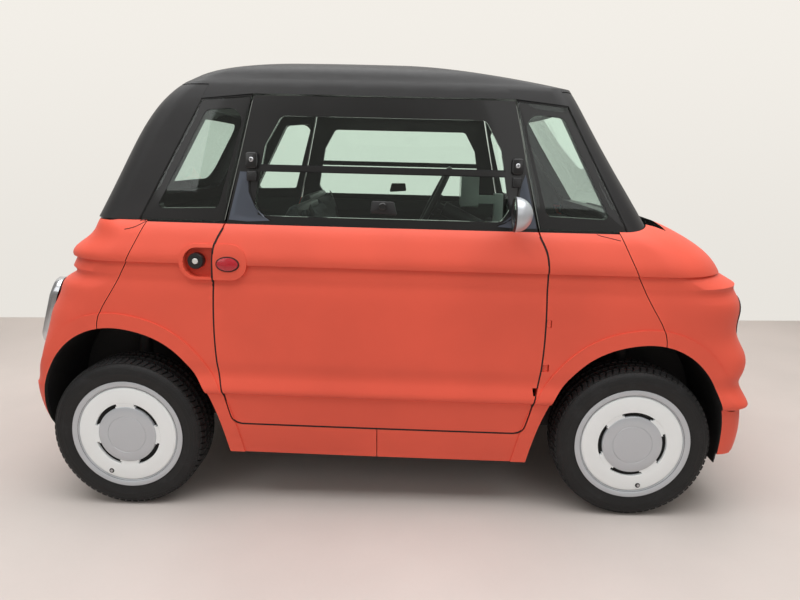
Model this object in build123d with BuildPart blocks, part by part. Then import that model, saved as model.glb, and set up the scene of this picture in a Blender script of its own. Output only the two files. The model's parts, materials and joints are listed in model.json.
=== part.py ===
from build123d import *
from math import cos, radians, sin
import os

# A two-seat electric microcar: moulded body panels round a steel cab frame, two doors,
# four wheels, the front pair steered.  Millimetres, +X forward, +Y to the car's left, +Z up.
os.makedirs("parts", exist_ok=True)

# ------------------------------------------------------------------ driving dimensions
WHEELBASE = 1728.0          # axle to axle
TRACK_HALF = 622.5          # car's centre to the tyre's centre plane
RAKE = 1.05                 # nose-down attitude of the body on its wheels, degrees
CLEAR = 0.3                 # assembly gap between seated pieces
DOOR_GAP = 5.5              # shut line round a door
SEAM = 3.0                  # seam between fixed panels

TYRE_R = 264.0              # tyre crown radius
TYRE_W = 155.0
TYRE_SHOULDER_R = 257.0
TYRE_TREAD_HALF = 58.0
BEAD_R = 180.0              # tyre bead seat radius
RIM_WALL = 6.0
COVER_R = 196.0             # outer edge of the wheel trim
HUB_R = 45.0
SPINDLE_R = 20.0
SPINDLE_FIT = 0.05          # running clearance of wheel on spindle
DRUM_R = 95.0
KINGPIN_IN = 62.0           # kingpin inboard of the tyre's centre plane
KINGPIN_R = 10.0
STEER_PAD = 3.0

SKIN_T = 10.0               # moulded end panels
WALL_T = 45.0               # doors and side walls
GLASS_T = 5.0               # fixed glass
FRAME_T = 30.0              # cab frame section
DOOR_FRAME_T = 22.0

BELT_Z = 987.0              # bottom of the side glass
LIP_Z = 855.0               # shoulder line
CREASE_Z = 412.0            # lower crease line
SILL_Z = 190.0
BUMPER_Z = 246.0            # bottom of the end panels
DOOR_BOTTOM_Z = 305.0
DOOR_TOP_Z = 1397.0
ROOF_Z = 1532.0
FLOOR_Z = 200.0
FLOOR_T = 24.0

AXLE_X = WHEELBASE / 2
MIDDLE_X = 26.0             # middle of the whole length, ahead of the axles' middle
HUB_Z = TYRE_R

# Plan of the body at each height:
# height, front reach, rear reach, half width, front radius, rear radius
LOWER = [
    (SILL_Z, 1249.0, 1152.0, 672.0, 95.0, 95.0),
    (300.0, 1271.0, 1208.0, 690.0, 100.0, 100.0),
    (CREASE_Z, 1263.0, 1226.0, 699.0, 105.0, 105.0),
]
MIDDLE = [
    (CREASE_Z, 1263.0, 1226.0, 699.0, 105.0, 105.0),
    (470.0, 1259.0, 1216.0, 700.0, 109.0, 112.0),
    (518.0, 1261.0, 1209.0, 700.0, 115.0, 120.0),
    (542.0, 1271.0, 1206.0, 700.0, 125.0, 134.0),
    (566.0, 1276.0, 1203.0, 699.0, 140.0, 148.0),
    (592.0, 1271.0, 1200.0, 698.0, 156.0, 163.0),
    (622.0, 1258.0, 1197.0, 697.0, 175.0, 180.0),
    (655.0, 1249.0, 1192.0, 696.0, 188.0, 194.0),
    (690.0, 1252.0, 1178.0, 695.0, 200.0, 204.0),
    (725.0, 1258.0, 1164.0, 694.0, 207.0, 212.0),
    (770.0, 1250.0, 1143.0, 691.0, 216.0, 221.0),
    (815.0, 1237.0, 1119.0, 689.0, 222.0, 228.0),
]
SHELF = [
    (815.0, 1237.0, 1119.0, 689.0, 222.0, 228.0),
    (LIP_Z, 1167.0, 1101.0, 687.0, 230.0, 235.0),
]
UPPER = [
    (LIP_Z, 1179.0, 1117.0, 696.0, 235.0, 240.0),
    (900.0, 1149.0, 1077.0, 692.0, 245.0, 215.0),
    (945.0, 1093.0, 1019.0, 677.0, 240.0, 165.0),
    (BELT_Z, 1017.0, 990.0, 650.0, 215.0, 112.0),
    (1008.0, 971.0, 965.0, 615.0, 190.0, 105.0),
    (1022.0, 929.0, 900.0, 560.0, 160.0, 100.0),
]
# Raised boss round the door handle, proud of the shoulder above it and of the recess below it
BOSS = [(LIP_Z - 65.0, 1179.0, 1117.0, 697.0, 235.0, 240.0)] + UPPER[:3]
BOSS_PROUD = 3.0
BOSS_ZONE = (-655.0, -432.0, 804.0, 921.0)      # rear edge, front edge, bottom, top on the right-hand side
POCKET_ZONE = (-642.0, -500.0, 810.0, 909.0)    # hollow of the handle, cut off by the door gap
POCKET_FLOOR = 660.0                            # bottom of the hollow from the car's centre
KNOB_X, KNOB_Z, KNOB_R, KNOB_L = -603.0, 863.0, 26.0, 22.0
# Plan of the glasshouse at each height, up to the roof's edge and above it
WALLS = [
    (930.0, 947.0, 1030.0, 651.0, 105.0, 108.0),
    (BELT_Z, 913.0, 999.0, 645.0, 105.0, 107.0),
    (1130.0, 821.0, 922.0, 631.0, 100.0, 104.0),
    (1270.0, 731.0, 847.0, 616.0, 95.0, 99.0),
    (DOOR_TOP_Z, 654.0, 749.0, 601.0, 90.0, 95.0),
    (1440.0, 627.0, 693.0, 591.0, 90.0, 95.0),
]
ROOF = [
    (1440.0, 627.0, 693.0, 591.0, 90.0, 95.0),
    (1462.0, 514.0, 649.0, 580.0, 90.0, 95.0),
    (1487.0, 354.0, 569.0, 564.0, 90.0, 95.0),
    (1507.0, 214.0, 454.0, 512.0, 90.0, 95.0),
    (1522.0, 99.0, 344.0, 400.0, 80.0, 85.0),
    (ROOF_Z, -1.0, 229.0, 200.0, 50.0, 50.0),
]
LIP_STEP = 14.5             # overhang of the upper body at the lip, which the inner walls keep behind
END_BOW = 24.0              # crown of the front and rear faces in plan
SIDE_BOW = 14.0             # crown of the sides in plan

# Seams in side view, front half; the rear half is their mirror image
DOOR_EDGE = [(500.0, 340.0), (520.0, 420.0), (538.0, 530.0), (545.0, 690.0), (543.0, 831.0), (537.0, 915.0), (510.0, BELT_Z)]
DOOR_TOP_X = 420.0
DOOR_CORNER_R = 42.0
PANEL_SEAM = [(773.0, 989.0), (815.0, 895.0), (845.0, 835.0), (897.0, 742.0), (937.0, 670.0), (941.0, 600.0)]
ARCH = [(505.0, 150.0), (530.0, 275.0), (561.0, 375.0), (619.0, 483.0), (709.0, 573.0), (835.0, 622.0), (941.0, 625.0),
        (1034.0, 587.0), (1110.0, 502.0), (1150.0, 399.0), (1159.0, 285.0), (1160.0, 150.0)]
FLARE_W, FLARE_T = 50.0, 4.0     # raised band round each wheel opening
LINER_T = 4.0
LINER_IN = 396.0            # inner wall of the wheel housing from the car's centre
FLANGE = 28.0              # ledge of the side wall behind an end panel
PILLAR_FOOT_X = 803.0       # outer seam of the quarter glass at the belt
PILLAR_HEAD_X = 593.0
PILLAR_HEAD_Z = 1382.0
WALL_TOP_HALF = 604.0       # inner edge of the side wall's top
GLASS_TOP_Z = 1428.0        # top of the windscreen and rear window
GLASS_FOOT_Z = 990.0
WINDOW = [(-392.0, 1012.0), (390.0, 1012.0), (416.0, 1050.0), (383.0, 1240.0), (330.0, 1334.0), (-330.0, 1334.0), (-383.0, 1240.0), (-418.0, 1050.0)]
WINDOW_R = 24.0
BAR_Z = 1167.0              # rail between the fixed and the hinged pane
BAR_H = 16.0
QUARTER = [(538.0, 1034.0), (745.0, 1027.0), (577.0, 1348.0), (446.0, 1360.0)]
QUARTER_R = 14.0
ROOF_GLASS = (-330.0, 390.0, 420.0)      # rear edge, front edge, half width
COWL_RUN = 58.0             # width of the trough ahead of the windscreen
COWL_TUCK = 14.0            # reach of the trough's plate under the end panel
TROUGH_HALF = 560.0
SCREEN_HALF = 530.0         # half width of the windscreen
REAR_GLASS_HALF, REAR_GLASS_LOW, REAR_GLASS_HIGH = 500.0, 1010.0, 1400.0
GLASS_REST = 28.0           # overlap of the end glasses on the cab frame
COWL_Z = 958.0

WHEEL_TUBE = 5.0
RAIL_IN, RAIL_OUT = 300.0, 372.0         # floor rails from the car's centre
RAIL_Z, RAIL_H = 330.0, 70.0
STRUT_R = 23.0
STRUT_Y = 500.0
ARM_Z, ARM_T = 143.0, 20.0
UPRIGHT_LOW, UPRIGHT_HIGH = 170.0, 358.0
BEAM_R = 28.0

STEER_X, STEER_Y, STEER_Z = 172.0, 300.0, 1001.0
STEER_TILT = 26.0           # column below the horizontal, degrees
STEER_RING_R = 172.0
STEER_GRIP_R = 13.0
SEAT_HALF = 215.0
SEAT_Y = 292.0
SEAT_BASE_Z = 392.0
SEAT_BACK_X = (-415.0, -350.0)           # x of the back's top, left and right seats
SEAT_TOP_Z = 1040.0
BATTERY = (-330.0, 130.0, 430.0, 150.0)  # rear, front, half width, height
DASH_BACK_X = 430.0
FIREWALL_X = 826.0
FIREWALL_T = 24.0
HINGE_X, HINGE_Y = 560.0, 686.0         # door pivot, right-hand door; the left-hand one is turned half round
HINGE_LEVELS = (540.0, 690.0)
HINGE_EYE_R, HINGE_PIN_R, HINGE_H = 5.5, 2.8, 24.0
SWEEP_R, SWEEP_IN, SWEEP_LOW, SWEEP_HIGH = 45.5, 20.0, 400.0, 470.0     # hollow of the door's edge, clear of the crease as it swings
TOW_R, TOW_X, TOW_Y, TOW_Z = 8.0, 1200.0, -295.0, 226.0  # threaded socket for a towing eye
TOW_L = 40.0
WIPER_X = 957.0
MIRROR_X, MIRROR_Y, MIRROR_Z, MIRROR_R = 423.0, 720.0, 1046.0, 55.0
TAIL_Y, TAIL_Z, TAIL_WIDE, TAIL_TALL, TAIL_PROUD = 500.0, 634.0, 110.0, 247.0, 33.0
HEAD_Y, HEAD_Z, HEAD_WIDE, HEAD_TALL, HEAD_PROUD = 500.0, 692.0, 120.0, 150.0, 14.0
COLUMN_R = 34.0
SHAFT_R = 15.0
FAR = 2400.0


# ------------------------------------------------------------------ shared shapes
def stack(rows, inset=0.0, drop=0.0, flat=False):
    """Loft the plan outlines of one table, moved inwards by inset and down by drop."""
    with BuildPart() as body:
        for z, front, rear, half, r_front, r_rear in rows:
            with BuildSketch(Plane.XY.offset(z - drop)) as outline:
                with BuildLine():
                    f, r, h = front - inset, rear - inset, half - inset
                    ThreePointArc((f - END_BOW, -h + SIDE_BOW), (f, 0), (f - END_BOW, h - SIDE_BOW))
                    ThreePointArc((f - END_BOW, h - SIDE_BOW), ((f - r) / 2, h), (END_BOW - r, h - SIDE_BOW))
                    ThreePointArc((END_BOW - r, h - SIDE_BOW), (-r, 0), (END_BOW - r, SIDE_BOW - h))
                    ThreePointArc((END_BOW - r, SIDE_BOW - h), ((f - r) / 2, -h), (f - END_BOW, SIDE_BOW - h))
                make_face()
                fillet(outline.vertices().sort_by(Axis.X)[:2], max(r_rear - inset, 12.0))
                fillet(outline.vertices().sort_by(Axis.X)[-2:], max(r_front - inset, 12.0))
        loft(ruled=flat)
    return body.part


def lower_body(inset=0.0, drop=0.0):
    """The whole body below the glass as one solid."""
    with BuildPart() as body:
        add(stack(LOWER, inset, drop))
        add(stack(MIDDLE, inset, drop))
        add(stack(SHELF, inset, drop))
        add(stack(UPPER, inset + (LIP_STEP if inset > 0 else 0), drop))
    return body.part


def glasshouse(inset=0.0, drop=0.0):
    """The whole body above the belt as one solid."""
    with BuildPart() as body:
        add(stack(WALLS, inset, drop))
        add(stack(ROOF, inset, drop))
    return body.part


def side_prism(points, near=0.0, far=FAR, grow=0.0, turn=1):
    """Extrude a side-view outline sideways on both sides of the car, between two distances from its centre."""
    with BuildPart() as prism:
        for way in (1, -1):
            with BuildSketch(Plane.XZ.offset(way * near)) as face:
                with BuildLine():
                    Polyline([(turn * x, z) for x, z in points], close=True)
                make_face()
                if grow:
                    offset(amount=grow, kind=Kind.INTERSECTION)
            extrude(amount=way * (far - near))
    return prism.part


def curve_prism(make_lines, grow=0.0, near=0.0, far=FAR):
    """As side_prism, for an outline that a function draws, larger by grow."""
    with BuildPart() as prism:
        for way in (1, -1):
            with BuildSketch(Plane.XZ.offset(way * near)):
                with BuildLine():
                    make_lines(grow)
                make_face()
            extrude(amount=way * (far - near))
    return prism.part


def door_lines(g):
    z0, z1, top_x = DOOR_BOTTOM_Z - g, DOOR_TOP_Z + g, DOOR_TOP_X + g
    first = (DOOR_EDGE[0][0] + g, DOOR_EDGE[0][1])
    points = [(x + g, z) for x, z in DOOR_EDGE]
    front = Spline(points, tangents=[(0.24, 1.0), (-0.22, 1.0)])
    Line(front @ 1, (top_x, z1))
    rear = Spline([(-x, z) for x, z in points], tangents=[(-0.24, 1.0), (0.22, 1.0)])
    Line(rear @ 1, (-top_x, z1))
    Line((top_x, z1), (-top_x, z1))
    low_x = first[0] - DOOR_CORNER_R
    Spline((low_x, z0), first, tangents=[(1.0, 0.0), (0.24, 1.0)])
    Spline((-low_x, z0), (-first[0], first[1]), tangents=[(-1.0, 0.0), (-0.24, 1.0)])
    Line((low_x, z0), (-low_x, z0))


def outwards(points, g):
    """Points of an open side-view curve, each moved by g along the curve's normal."""
    moved = []
    for i, (x, z) in enumerate(points):
        x0, z0 = points[max(i - 1, 0)]
        x1, z1 = points[min(i + 1, len(points) - 1)]
        run = ((x1 - x0) ** 2 + (z1 - z0) ** 2) ** 0.5
        moved.append((x - (z1 - z0) / run * g, z + (x1 - x0) / run * g))
    return moved


def arch_lines(g):
    curve = Spline(outwards(ARCH, g))
    Line(curve @ 0, curve @ 1)


def end_lines(g):
    seam = Spline([(x - g, z) for x, z in PANEL_SEAM])
    x_low, x_high = PANEL_SEAM[-1][0] - g, PANEL_SEAM[0][0] - g
    Polyline(seam @ 1, (x_low, 0), (FAR, 0), (FAR, 1100), (x_high, 1100), seam @ 0)


def on_rake(part):
    """Pitch a body piece nose-down about the front-to-rear middle, at hub height."""
    return part.rotate(Axis((0, 0, HUB_Z), (0, 1, 0)), RAKE)


def raked_z(x, z):
    """Height of a body point once the body is pitched."""
    return HUB_Z + (z - HUB_Z) * cos(radians(RAKE)) - x * sin(radians(RAKE))


def keep(part, label):
    placed = part.translate((-MIDDLE_X, 0, 0))
    placed.label = label
    export_step(placed, "parts/" + label + ".step")


outer = lower_body()
skin_in = lower_body(SKIN_T, SKIN_T)
skin_in_gap = lower_body(SKIN_T + CLEAR, SKIN_T)
wall_in = lower_body(WALL_T, WALL_T)
wall_in_gap = lower_body(WALL_T + CLEAR, WALL_T)
glass_out = glasshouse()
glass_in = glasshouse(GLASS_T, GLASS_T)
frame_out = glasshouse(GLASS_T + CLEAR, GLASS_T + CLEAR)
frame_in = glasshouse(GLASS_T + FRAME_T, GLASS_T + FRAME_T)
with BuildPart() as glass_room:
    add(glasshouse(-SEAM, -SEAM))
    with Locations((0, 0, (BELT_Z - SEAM) / 2)):
        Box(2 * FAR, 2 * FAR, BELT_Z - SEAM, mode=Mode.SUBTRACT)
glass_grown = glass_room.part
print("base lofts", [round(p.volume / 1e9, 4) for p in (outer, skin_in, wall_in, glass_out, glass_in, frame_in)])

door_cut = curve_prism(door_lines, near=200.0)
door_hole = curve_prism(door_lines, DOOR_GAP, near=200.0)
front_arch = curve_prism(arch_lines, near=LINER_IN)
front_end = curve_prism(end_lines, -SEAM / 2)
front_end_wide = curve_prism(end_lines, SEAM / 2)
front_flange = curve_prism(end_lines, -FLANGE)
rear_arch, rear_end, rear_end_wide, rear_flange = [p.mirror(Plane.YZ) for p in (front_arch, front_end, front_end_wide, front_flange)]


def upright_pad(zone, corner, y0, y1):
    """Rounded side-view plate on the right-hand side towards the rear, and its half-turned twin on the left."""
    x0, x1, z0, z1 = zone
    with BuildPart() as pad:
        for way in (1, -1):
            with BuildSketch(Plane.XZ.offset(way * y0)):
                with Locations((way * (x0 + x1) / 2, (z0 + z1) / 2)):
                    RectangleRounded(x1 - x0, z1 - z0, corner)
            extrude(amount=way * (y1 - y0))
    return pad.part


with BuildPart() as flares:
    add(lower_body(-FLARE_T))
    add(curve_prism(arch_lines, FLARE_W, near=400.0) + curve_prism(arch_lines, FLARE_W, near=400.0).mirror(Plane.YZ), mode=Mode.INTERSECT)
with BuildPart() as handle_bosses:
    add(stack(BOSS, -BOSS_PROUD))
    add(upright_pad(BOSS_ZONE, 54.0, 400.0, FAR), mode=Mode.INTERSECT)
with BuildPart() as dressed_body:
    add(outer)
    add(flares.part)
    add(handle_bosses.part)
outer_dressed = dressed_body.part
print("dressed body", round(outer_dressed.volume / 1e9, 4), len(outer_dressed.solids()))


def block(x0, x1, y0, y1, z0, z1):
    """A plain box between its limits."""
    with BuildPart() as box:
        with Locations(((x0 + x1) / 2, (y0 + y1) / 2, (z0 + z1) / 2)):
            Box(x1 - x0, y1 - y0, z1 - z0)
    return box.part


# ------------------------------------------------------------------ moulded end panels
with BuildPart() as front_clamshell:
    add(outer_dressed)
    add(skin_in, mode=Mode.SUBTRACT)
    add(front_end, mode=Mode.INTERSECT)
    add(glass_grown, mode=Mode.SUBTRACT)
    add(front_arch, mode=Mode.SUBTRACT)
    add(block(0, FAR, -FAR, FAR, 0, BUMPER_Z), mode=Mode.SUBTRACT)
    with BuildPart(mode=Mode.PRIVATE) as trough:
        add(stack(WALLS, -COWL_RUN))
        add(block(FIREWALL_X, FAR, -TROUGH_HALF, TROUGH_HALF, COWL_Z, FAR), mode=Mode.INTERSECT)
    add(trough.part, mode=Mode.SUBTRACT)
with BuildPart() as rear_clamshell:
    add(outer_dressed)
    add(skin_in, mode=Mode.SUBTRACT)
    add(rear_end, mode=Mode.INTERSECT)
    add(glass_grown, mode=Mode.SUBTRACT)
    add(rear_arch, mode=Mode.SUBTRACT)
    add(block(-FAR, 0, -FAR, FAR, 0, BUMPER_Z), mode=Mode.SUBTRACT)
print("clamshells", front_clamshell.part.volume / 1e6, len(front_clamshell.part.solids()), rear_clamshell.part.volume / 1e6, len(rear_clamshell.part.solids()))

# ------------------------------------------------------------------ side walls, one pair ahead of the sill seam and one behind
with BuildPart() as side_wall:
    add(outer_dressed)
    add(wall_in, mode=Mode.SUBTRACT)
    add(front_flange, mode=Mode.SUBTRACT)
    add(rear_flange, mode=Mode.SUBTRACT)
    add(door_hole, mode=Mode.SUBTRACT)
    add(front_arch, mode=Mode.SUBTRACT)
    add(rear_arch, mode=Mode.SUBTRACT)
    add(block(-FAR, FAR, -FAR, FAR, BELT_Z - SEAM, FAR), mode=Mode.SUBTRACT)
    add(block(-FAR, FAR, -WALL_TOP_HALF, WALL_TOP_HALF, LIP_Z + 60, FAR), mode=Mode.SUBTRACT)
with BuildPart() as outer_layer:
    add(outer_dressed)
    add(skin_in_gap, mode=Mode.SUBTRACT)
with BuildPart() as front_layer:
    add(outer_layer.part)
    add(front_end_wide, mode=Mode.INTERSECT)
with BuildPart() as rear_layer:
    add(outer_layer.part)
    add(rear_end_wide, mode=Mode.INTERSECT)


def at_hinges(make, way):
    """Repeat what make(z) draws about the origin at both levels of one door's pivot."""
    with BuildPart() as pair:
        for z in HINGE_LEVELS:
            with Locations(Location((way * HINGE_X, -way * HINGE_Y, z), (0, 0, 0 if way > 0 else 180))):
                make()
    return pair.part


def hinge_notch():
    reach = HINGE_EYE_R + 1.0
    Box(HINGE_X - 500 + reach, 40 + reach, HINGE_H + 2 * CLEAR, align=(Align.MAX, Align.MAX, Align.CENTER))


def hinge_tongue():
    Cylinder(HINGE_EYE_R, HINGE_H)
    Box(40, 2 * HINGE_EYE_R, HINGE_H, align=(Align.MAX, Align.CENTER, Align.CENTER))


pocket = upright_pad(POCKET_ZONE, 46.0, POCKET_FLOOR, FAR)
with BuildPart() as knobs:
    for way in (1, -1):
        with Locations((way * KNOB_X, -way * (POCKET_FLOOR + KNOB_L / 2 - 1), KNOB_Z)):
            Cylinder(KNOB_R, KNOB_L + 2, rotation=(90, 0, 0))


def with_hinges(panels, way):
    """Side panels with the notches and fixed pins of the door hung on them."""
    shift = HINGE_EYE_R + 1.0
    with BuildPart() as hung:
        add(panels)
        add(at_hinges(hinge_notch, way).translate((way * shift, way * shift, 0)), mode=Mode.SUBTRACT)
        add(at_hinges(lambda: Cylinder(HINGE_PIN_R, HINGE_H + 26), way))
    return hung


with BuildPart() as front_walls:
    add(side_wall.part)
    add(front_layer.part, mode=Mode.SUBTRACT)
    add(block(-FAR, SEAM / 2, -FAR, FAR, 0, FAR), mode=Mode.SUBTRACT)
    add(pocket, mode=Mode.SUBTRACT)
    add(knobs.part & block(0, FAR, -FAR, FAR, 0, FAR))
with BuildPart() as rear_walls:
    add(side_wall.part)
    add(rear_layer.part, mode=Mode.SUBTRACT)
    add(block(-SEAM / 2, FAR, -FAR, FAR, 0, FAR), mode=Mode.SUBTRACT)
    add(pocket, mode=Mode.SUBTRACT)
    add(knobs.part & block(-FAR, 0, -FAR, FAR, 0, FAR))
front_side_panels = with_hinges(front_walls.part, 1)
rear_side_panels = with_hinges(rear_walls.part, -1)
print("sides", front_side_panels.part.volume / 1e6, len(front_side_panels.part.solids()), rear_side_panels.part.volume / 1e6, len(rear_side_panels.part.solids()))

with BuildPart() as door_skins:
    add(outer_dressed)
    add(wall_in, mode=Mode.SUBTRACT)
    add(door_cut, mode=Mode.INTERSECT)
    add(block(-FAR, FAR, -FAR, FAR, BELT_Z - SEAM, FAR), mode=Mode.SUBTRACT)
    add(block(-FAR, FAR, -WALL_TOP_HALF, WALL_TOP_HALF, LIP_Z + 60, FAR), mode=Mode.SUBTRACT)
    for way in (1, -1):
        add(at_hinges(hinge_tongue, way))
        add(at_hinges(lambda: Cylinder(HINGE_PIN_R + CLEAR, HINGE_H + 2), way), mode=Mode.SUBTRACT)
        with BuildPart(mode=Mode.PRIVATE) as swept:
            with Locations((way * HINGE_X, -way * HINGE_Y, (SWEEP_LOW + SWEEP_HIGH) / 2)):
                Cylinder(SWEEP_R, SWEEP_HIGH - SWEEP_LOW)
            edges = sorted((-way * (HINGE_Y + SWEEP_IN), 0))
            add(block(-FAR, FAR, edges[0], edges[1], 0, FAR), mode=Mode.INTERSECT)
        add(swept.part, mode=Mode.SUBTRACT)
print("door skins", door_skins.part.volume / 1e6, len(door_skins.part.solids()))


# ------------------------------------------------------------------ glasshouse
def lean(x0, z0, x1, z1, z):
    """x on the straight line through two side-view points, at height z."""
    return x0 + (x1 - x0) * (z - z0) / (z1 - z0)


def pillar(z):
    return lean(PILLAR_FOOT_X, GLASS_FOOT_Z, PILLAR_HEAD_X, PILLAR_HEAD_Z, z)


def rounded_prism(points, radius, near, far, turn=1):
    with BuildPart() as prism:
        for way in (1, -1):
            with BuildSketch(Plane.XZ.offset(way * near)) as face:
                with BuildLine():
                    Polyline([(turn * x, z) for x, z in points], close=True)
                make_face()
                fillet(face.vertices(), radius)
            extrude(amount=way * (far - near))
    return prism.part


def grown(points, g):
    """Side-view polygon scaled about its middle so that each edge moves by about g."""
    cx = sum(x for x, z in points) / len(points)
    cz = sum(z for x, z in points) / len(points)
    wide = max(x for x, z in points) - cx
    tall = max(z for x, z in points) - cz
    return [(cx + (x - cx) * (1 + g / wide), cz + (z - cz) * (1 + g / tall)) for x, z in points]


edge_x = DOOR_EDGE[-1][0]
top_x = DOOR_TOP_X
quarter_zone = [(lean(edge_x, BELT_Z, top_x, DOOR_TOP_Z, GLASS_FOOT_Z) + DOOR_GAP, GLASS_FOOT_Z),
                (PILLAR_FOOT_X - SEAM / 2, GLASS_FOOT_Z), (PILLAR_HEAD_X - SEAM / 2, PILLAR_HEAD_Z),
                (top_x + DOOR_GAP, DOOR_TOP_Z)]
screen_zone = [(PILLAR_FOOT_X + SEAM / 2, GLASS_FOOT_Z), (FAR, GLASS_FOOT_Z), (FAR, GLASS_TOP_Z), (pillar(GLASS_TOP_Z) + 4, GLASS_TOP_Z),
               (PILLAR_HEAD_X + SEAM / 2, PILLAR_HEAD_Z)]
roof_zone = [(-top_x - DOOR_GAP, DOOR_TOP_Z + DOOR_GAP), (top_x + DOOR_GAP, DOOR_TOP_Z + DOOR_GAP),
             (PILLAR_HEAD_X, PILLAR_HEAD_Z + SEAM), (pillar(GLASS_TOP_Z) + 2, GLASS_TOP_Z + SEAM), (FAR, GLASS_TOP_Z + SEAM), (FAR, 1700),
             (-FAR, 1700), (-FAR, GLASS_TOP_Z + SEAM), (-pillar(GLASS_TOP_Z) - 2, GLASS_TOP_Z + SEAM), (-PILLAR_HEAD_X, PILLAR_HEAD_Z + SEAM)]
roof_rear, roof_front, roof_half = ROOF_GLASS


def roof_hole(g):
    with BuildPart() as hole:
        with BuildSketch(Plane.XY.offset(1300)):
            with Locations(((roof_front + roof_rear) / 2, 0)):
                RectangleRounded(roof_front - roof_rear + 2 * g, 2 * roof_half + 2 * g, 60)
        extrude(amount=500)
    return hole.part


with BuildPart() as glass_layer:
    add(glass_out)
    add(glass_in, mode=Mode.SUBTRACT)
with BuildPart() as quarter_glasses:
    add(glass_layer.part)
    add(side_prism(quarter_zone, near=200) + side_prism(quarter_zone, near=200, turn=-1), mode=Mode.INTERSECT)


def rear_opening(g):
    """Window opening of the rear, seen from behind, larger by g."""
    with BuildPart() as hole:
        with BuildSketch(Plane.YZ.offset(-FAR)):
            with Locations((0, (REAR_GLASS_LOW + REAR_GLASS_HIGH) / 2)):
                RectangleRounded(2 * (REAR_GLASS_HALF + g), REAR_GLASS_HIGH - REAR_GLASS_LOW + 2 * g, 60 + g)
        extrude(amount=FAR - 400)
    return hole.part


with BuildPart() as windscreen:
    add(glass_layer.part)
    add(side_prism(screen_zone), mode=Mode.INTERSECT)
    add(block(0, FAR, -SCREEN_HALF, SCREEN_HALF, 0, FAR), mode=Mode.INTERSECT)
with BuildPart() as rear_window:
    add(glass_layer.part)
    add(rear_opening(0), mode=Mode.INTERSECT)
with BuildPart() as roof_top:
    add(glass_layer.part)
    add(side_prism(roof_zone), mode=Mode.INTERSECT)
    add(roof_hole(SEAM), mode=Mode.SUBTRACT)
with BuildPart() as front_pillars:
    add(glass_layer.part)
    add(side_prism(screen_zone), mode=Mode.INTERSECT)
    add(block(0, FAR, -SCREEN_HALF - SEAM, SCREEN_HALF + SEAM, 0, FAR), mode=Mode.SUBTRACT)
with BuildPart() as rear_quarters:
    add(glass_layer.part)
    add(side_prism(screen_zone, turn=-1), mode=Mode.INTERSECT)
    add(rear_opening(SEAM), mode=Mode.SUBTRACT)
with BuildPart() as roof_panel:
    add(roof_top.part)
    add(front_pillars.part)
    add(rear_quarters.part)
with BuildPart() as roof_glass:
    add(glass_layer.part)
    add(side_prism(roof_zone), mode=Mode.INTERSECT)
    add(roof_hole(0), mode=Mode.INTERSECT)
with BuildPart() as cab_frame:
    add(frame_out)
    add(frame_in, mode=Mode.SUBTRACT)
    add(block(-FAR, FAR, -FAR, FAR, 0, BELT_Z - SEAM + CLEAR), mode=Mode.SUBTRACT)
    add(door_hole, mode=Mode.SUBTRACT)
    add(rounded_prism(QUARTER, QUARTER_R, 200, FAR) + rounded_prism(QUARTER, QUARTER_R, 200, FAR, -1), mode=Mode.SUBTRACT)
    add(block(pillar(GLASS_TOP_Z) - 20, FAR, GLASS_REST - SCREEN_HALF, SCREEN_HALF - GLASS_REST, GLASS_FOOT_Z + GLASS_REST, GLASS_TOP_Z - 43), mode=Mode.SUBTRACT)
    add(rear_opening(-GLASS_REST), mode=Mode.SUBTRACT)
    add(roof_hole(-45), mode=Mode.SUBTRACT)
for piece, name in ((quarter_glasses, "quarter"), (windscreen, "windscreen"), (rear_window, "rear window"), (roof_panel, "roof"), (roof_glass, "roof glass"), (cab_frame, "cab frame")):
    print(name, round(piece.part.volume / 1e6, 3), len(piece.part.solids()))

# door tops: a black frame with its two panes
window_low = [(x, min(z, BAR_Z - BAR_H / 2)) for x, z in WINDOW]
with BuildPart() as door_tops:
    add(glass_out)
    add(glasshouse(DOOR_FRAME_T, DOOR_FRAME_T), mode=Mode.SUBTRACT)
    add(door_cut, mode=Mode.INTERSECT)
    add(block(-FAR, FAR, -FAR, FAR, 0, BELT_Z - SEAM + CLEAR), mode=Mode.SUBTRACT)
    add(rounded_prism(WINDOW, WINDOW_R, 200, FAR), mode=Mode.SUBTRACT)
with BuildPart() as window_bar:
    add(glass_out)
    add(glasshouse(DOOR_FRAME_T - 6, DOOR_FRAME_T - 6), mode=Mode.SUBTRACT)
    add(side_prism([(-440, BAR_Z - BAR_H / 2), (440, BAR_Z - BAR_H / 2), (440, BAR_Z + BAR_H / 2), (-440, BAR_Z + BAR_H / 2)], near=200), mode=Mode.INTERSECT)
with BuildPart() as door_frames:
    add(door_tops.part)
    add(window_bar.part)
with BuildPart() as door_glasses:
    add(glasshouse(3, 3))
    add(glasshouse(3 + GLASS_T, 3 + GLASS_T), mode=Mode.SUBTRACT)
    add(rounded_prism(grown(WINDOW, -CLEAR), WINDOW_R, 200, FAR), mode=Mode.INTERSECT)
    add(side_prism([(-600, BAR_Z - BAR_H / 2 - CLEAR), (600, BAR_Z - BAR_H / 2 - CLEAR), (600, BAR_Z + BAR_H / 2 + CLEAR), (-600, BAR_Z + BAR_H / 2 + CLEAR)], near=200), mode=Mode.SUBTRACT)
print("door tops", door_frames.part.volume / 1e6, len(door_frames.part.solids()), door_glasses.part.volume / 1e6, len(door_glasses.part.solids()))


# ------------------------------------------------------------------ floor, bulkheads and rails of the chassis
def side_slab(points, half):
    """Side-view outline as thick as the middle of the car, half the width each way."""
    with BuildPart() as slab:
        with BuildSketch(Plane.XZ):
            with BuildLine():
                Polyline(points, close=True)
            make_face()
        extrude(amount=half, both=True)
    return slab.part


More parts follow.
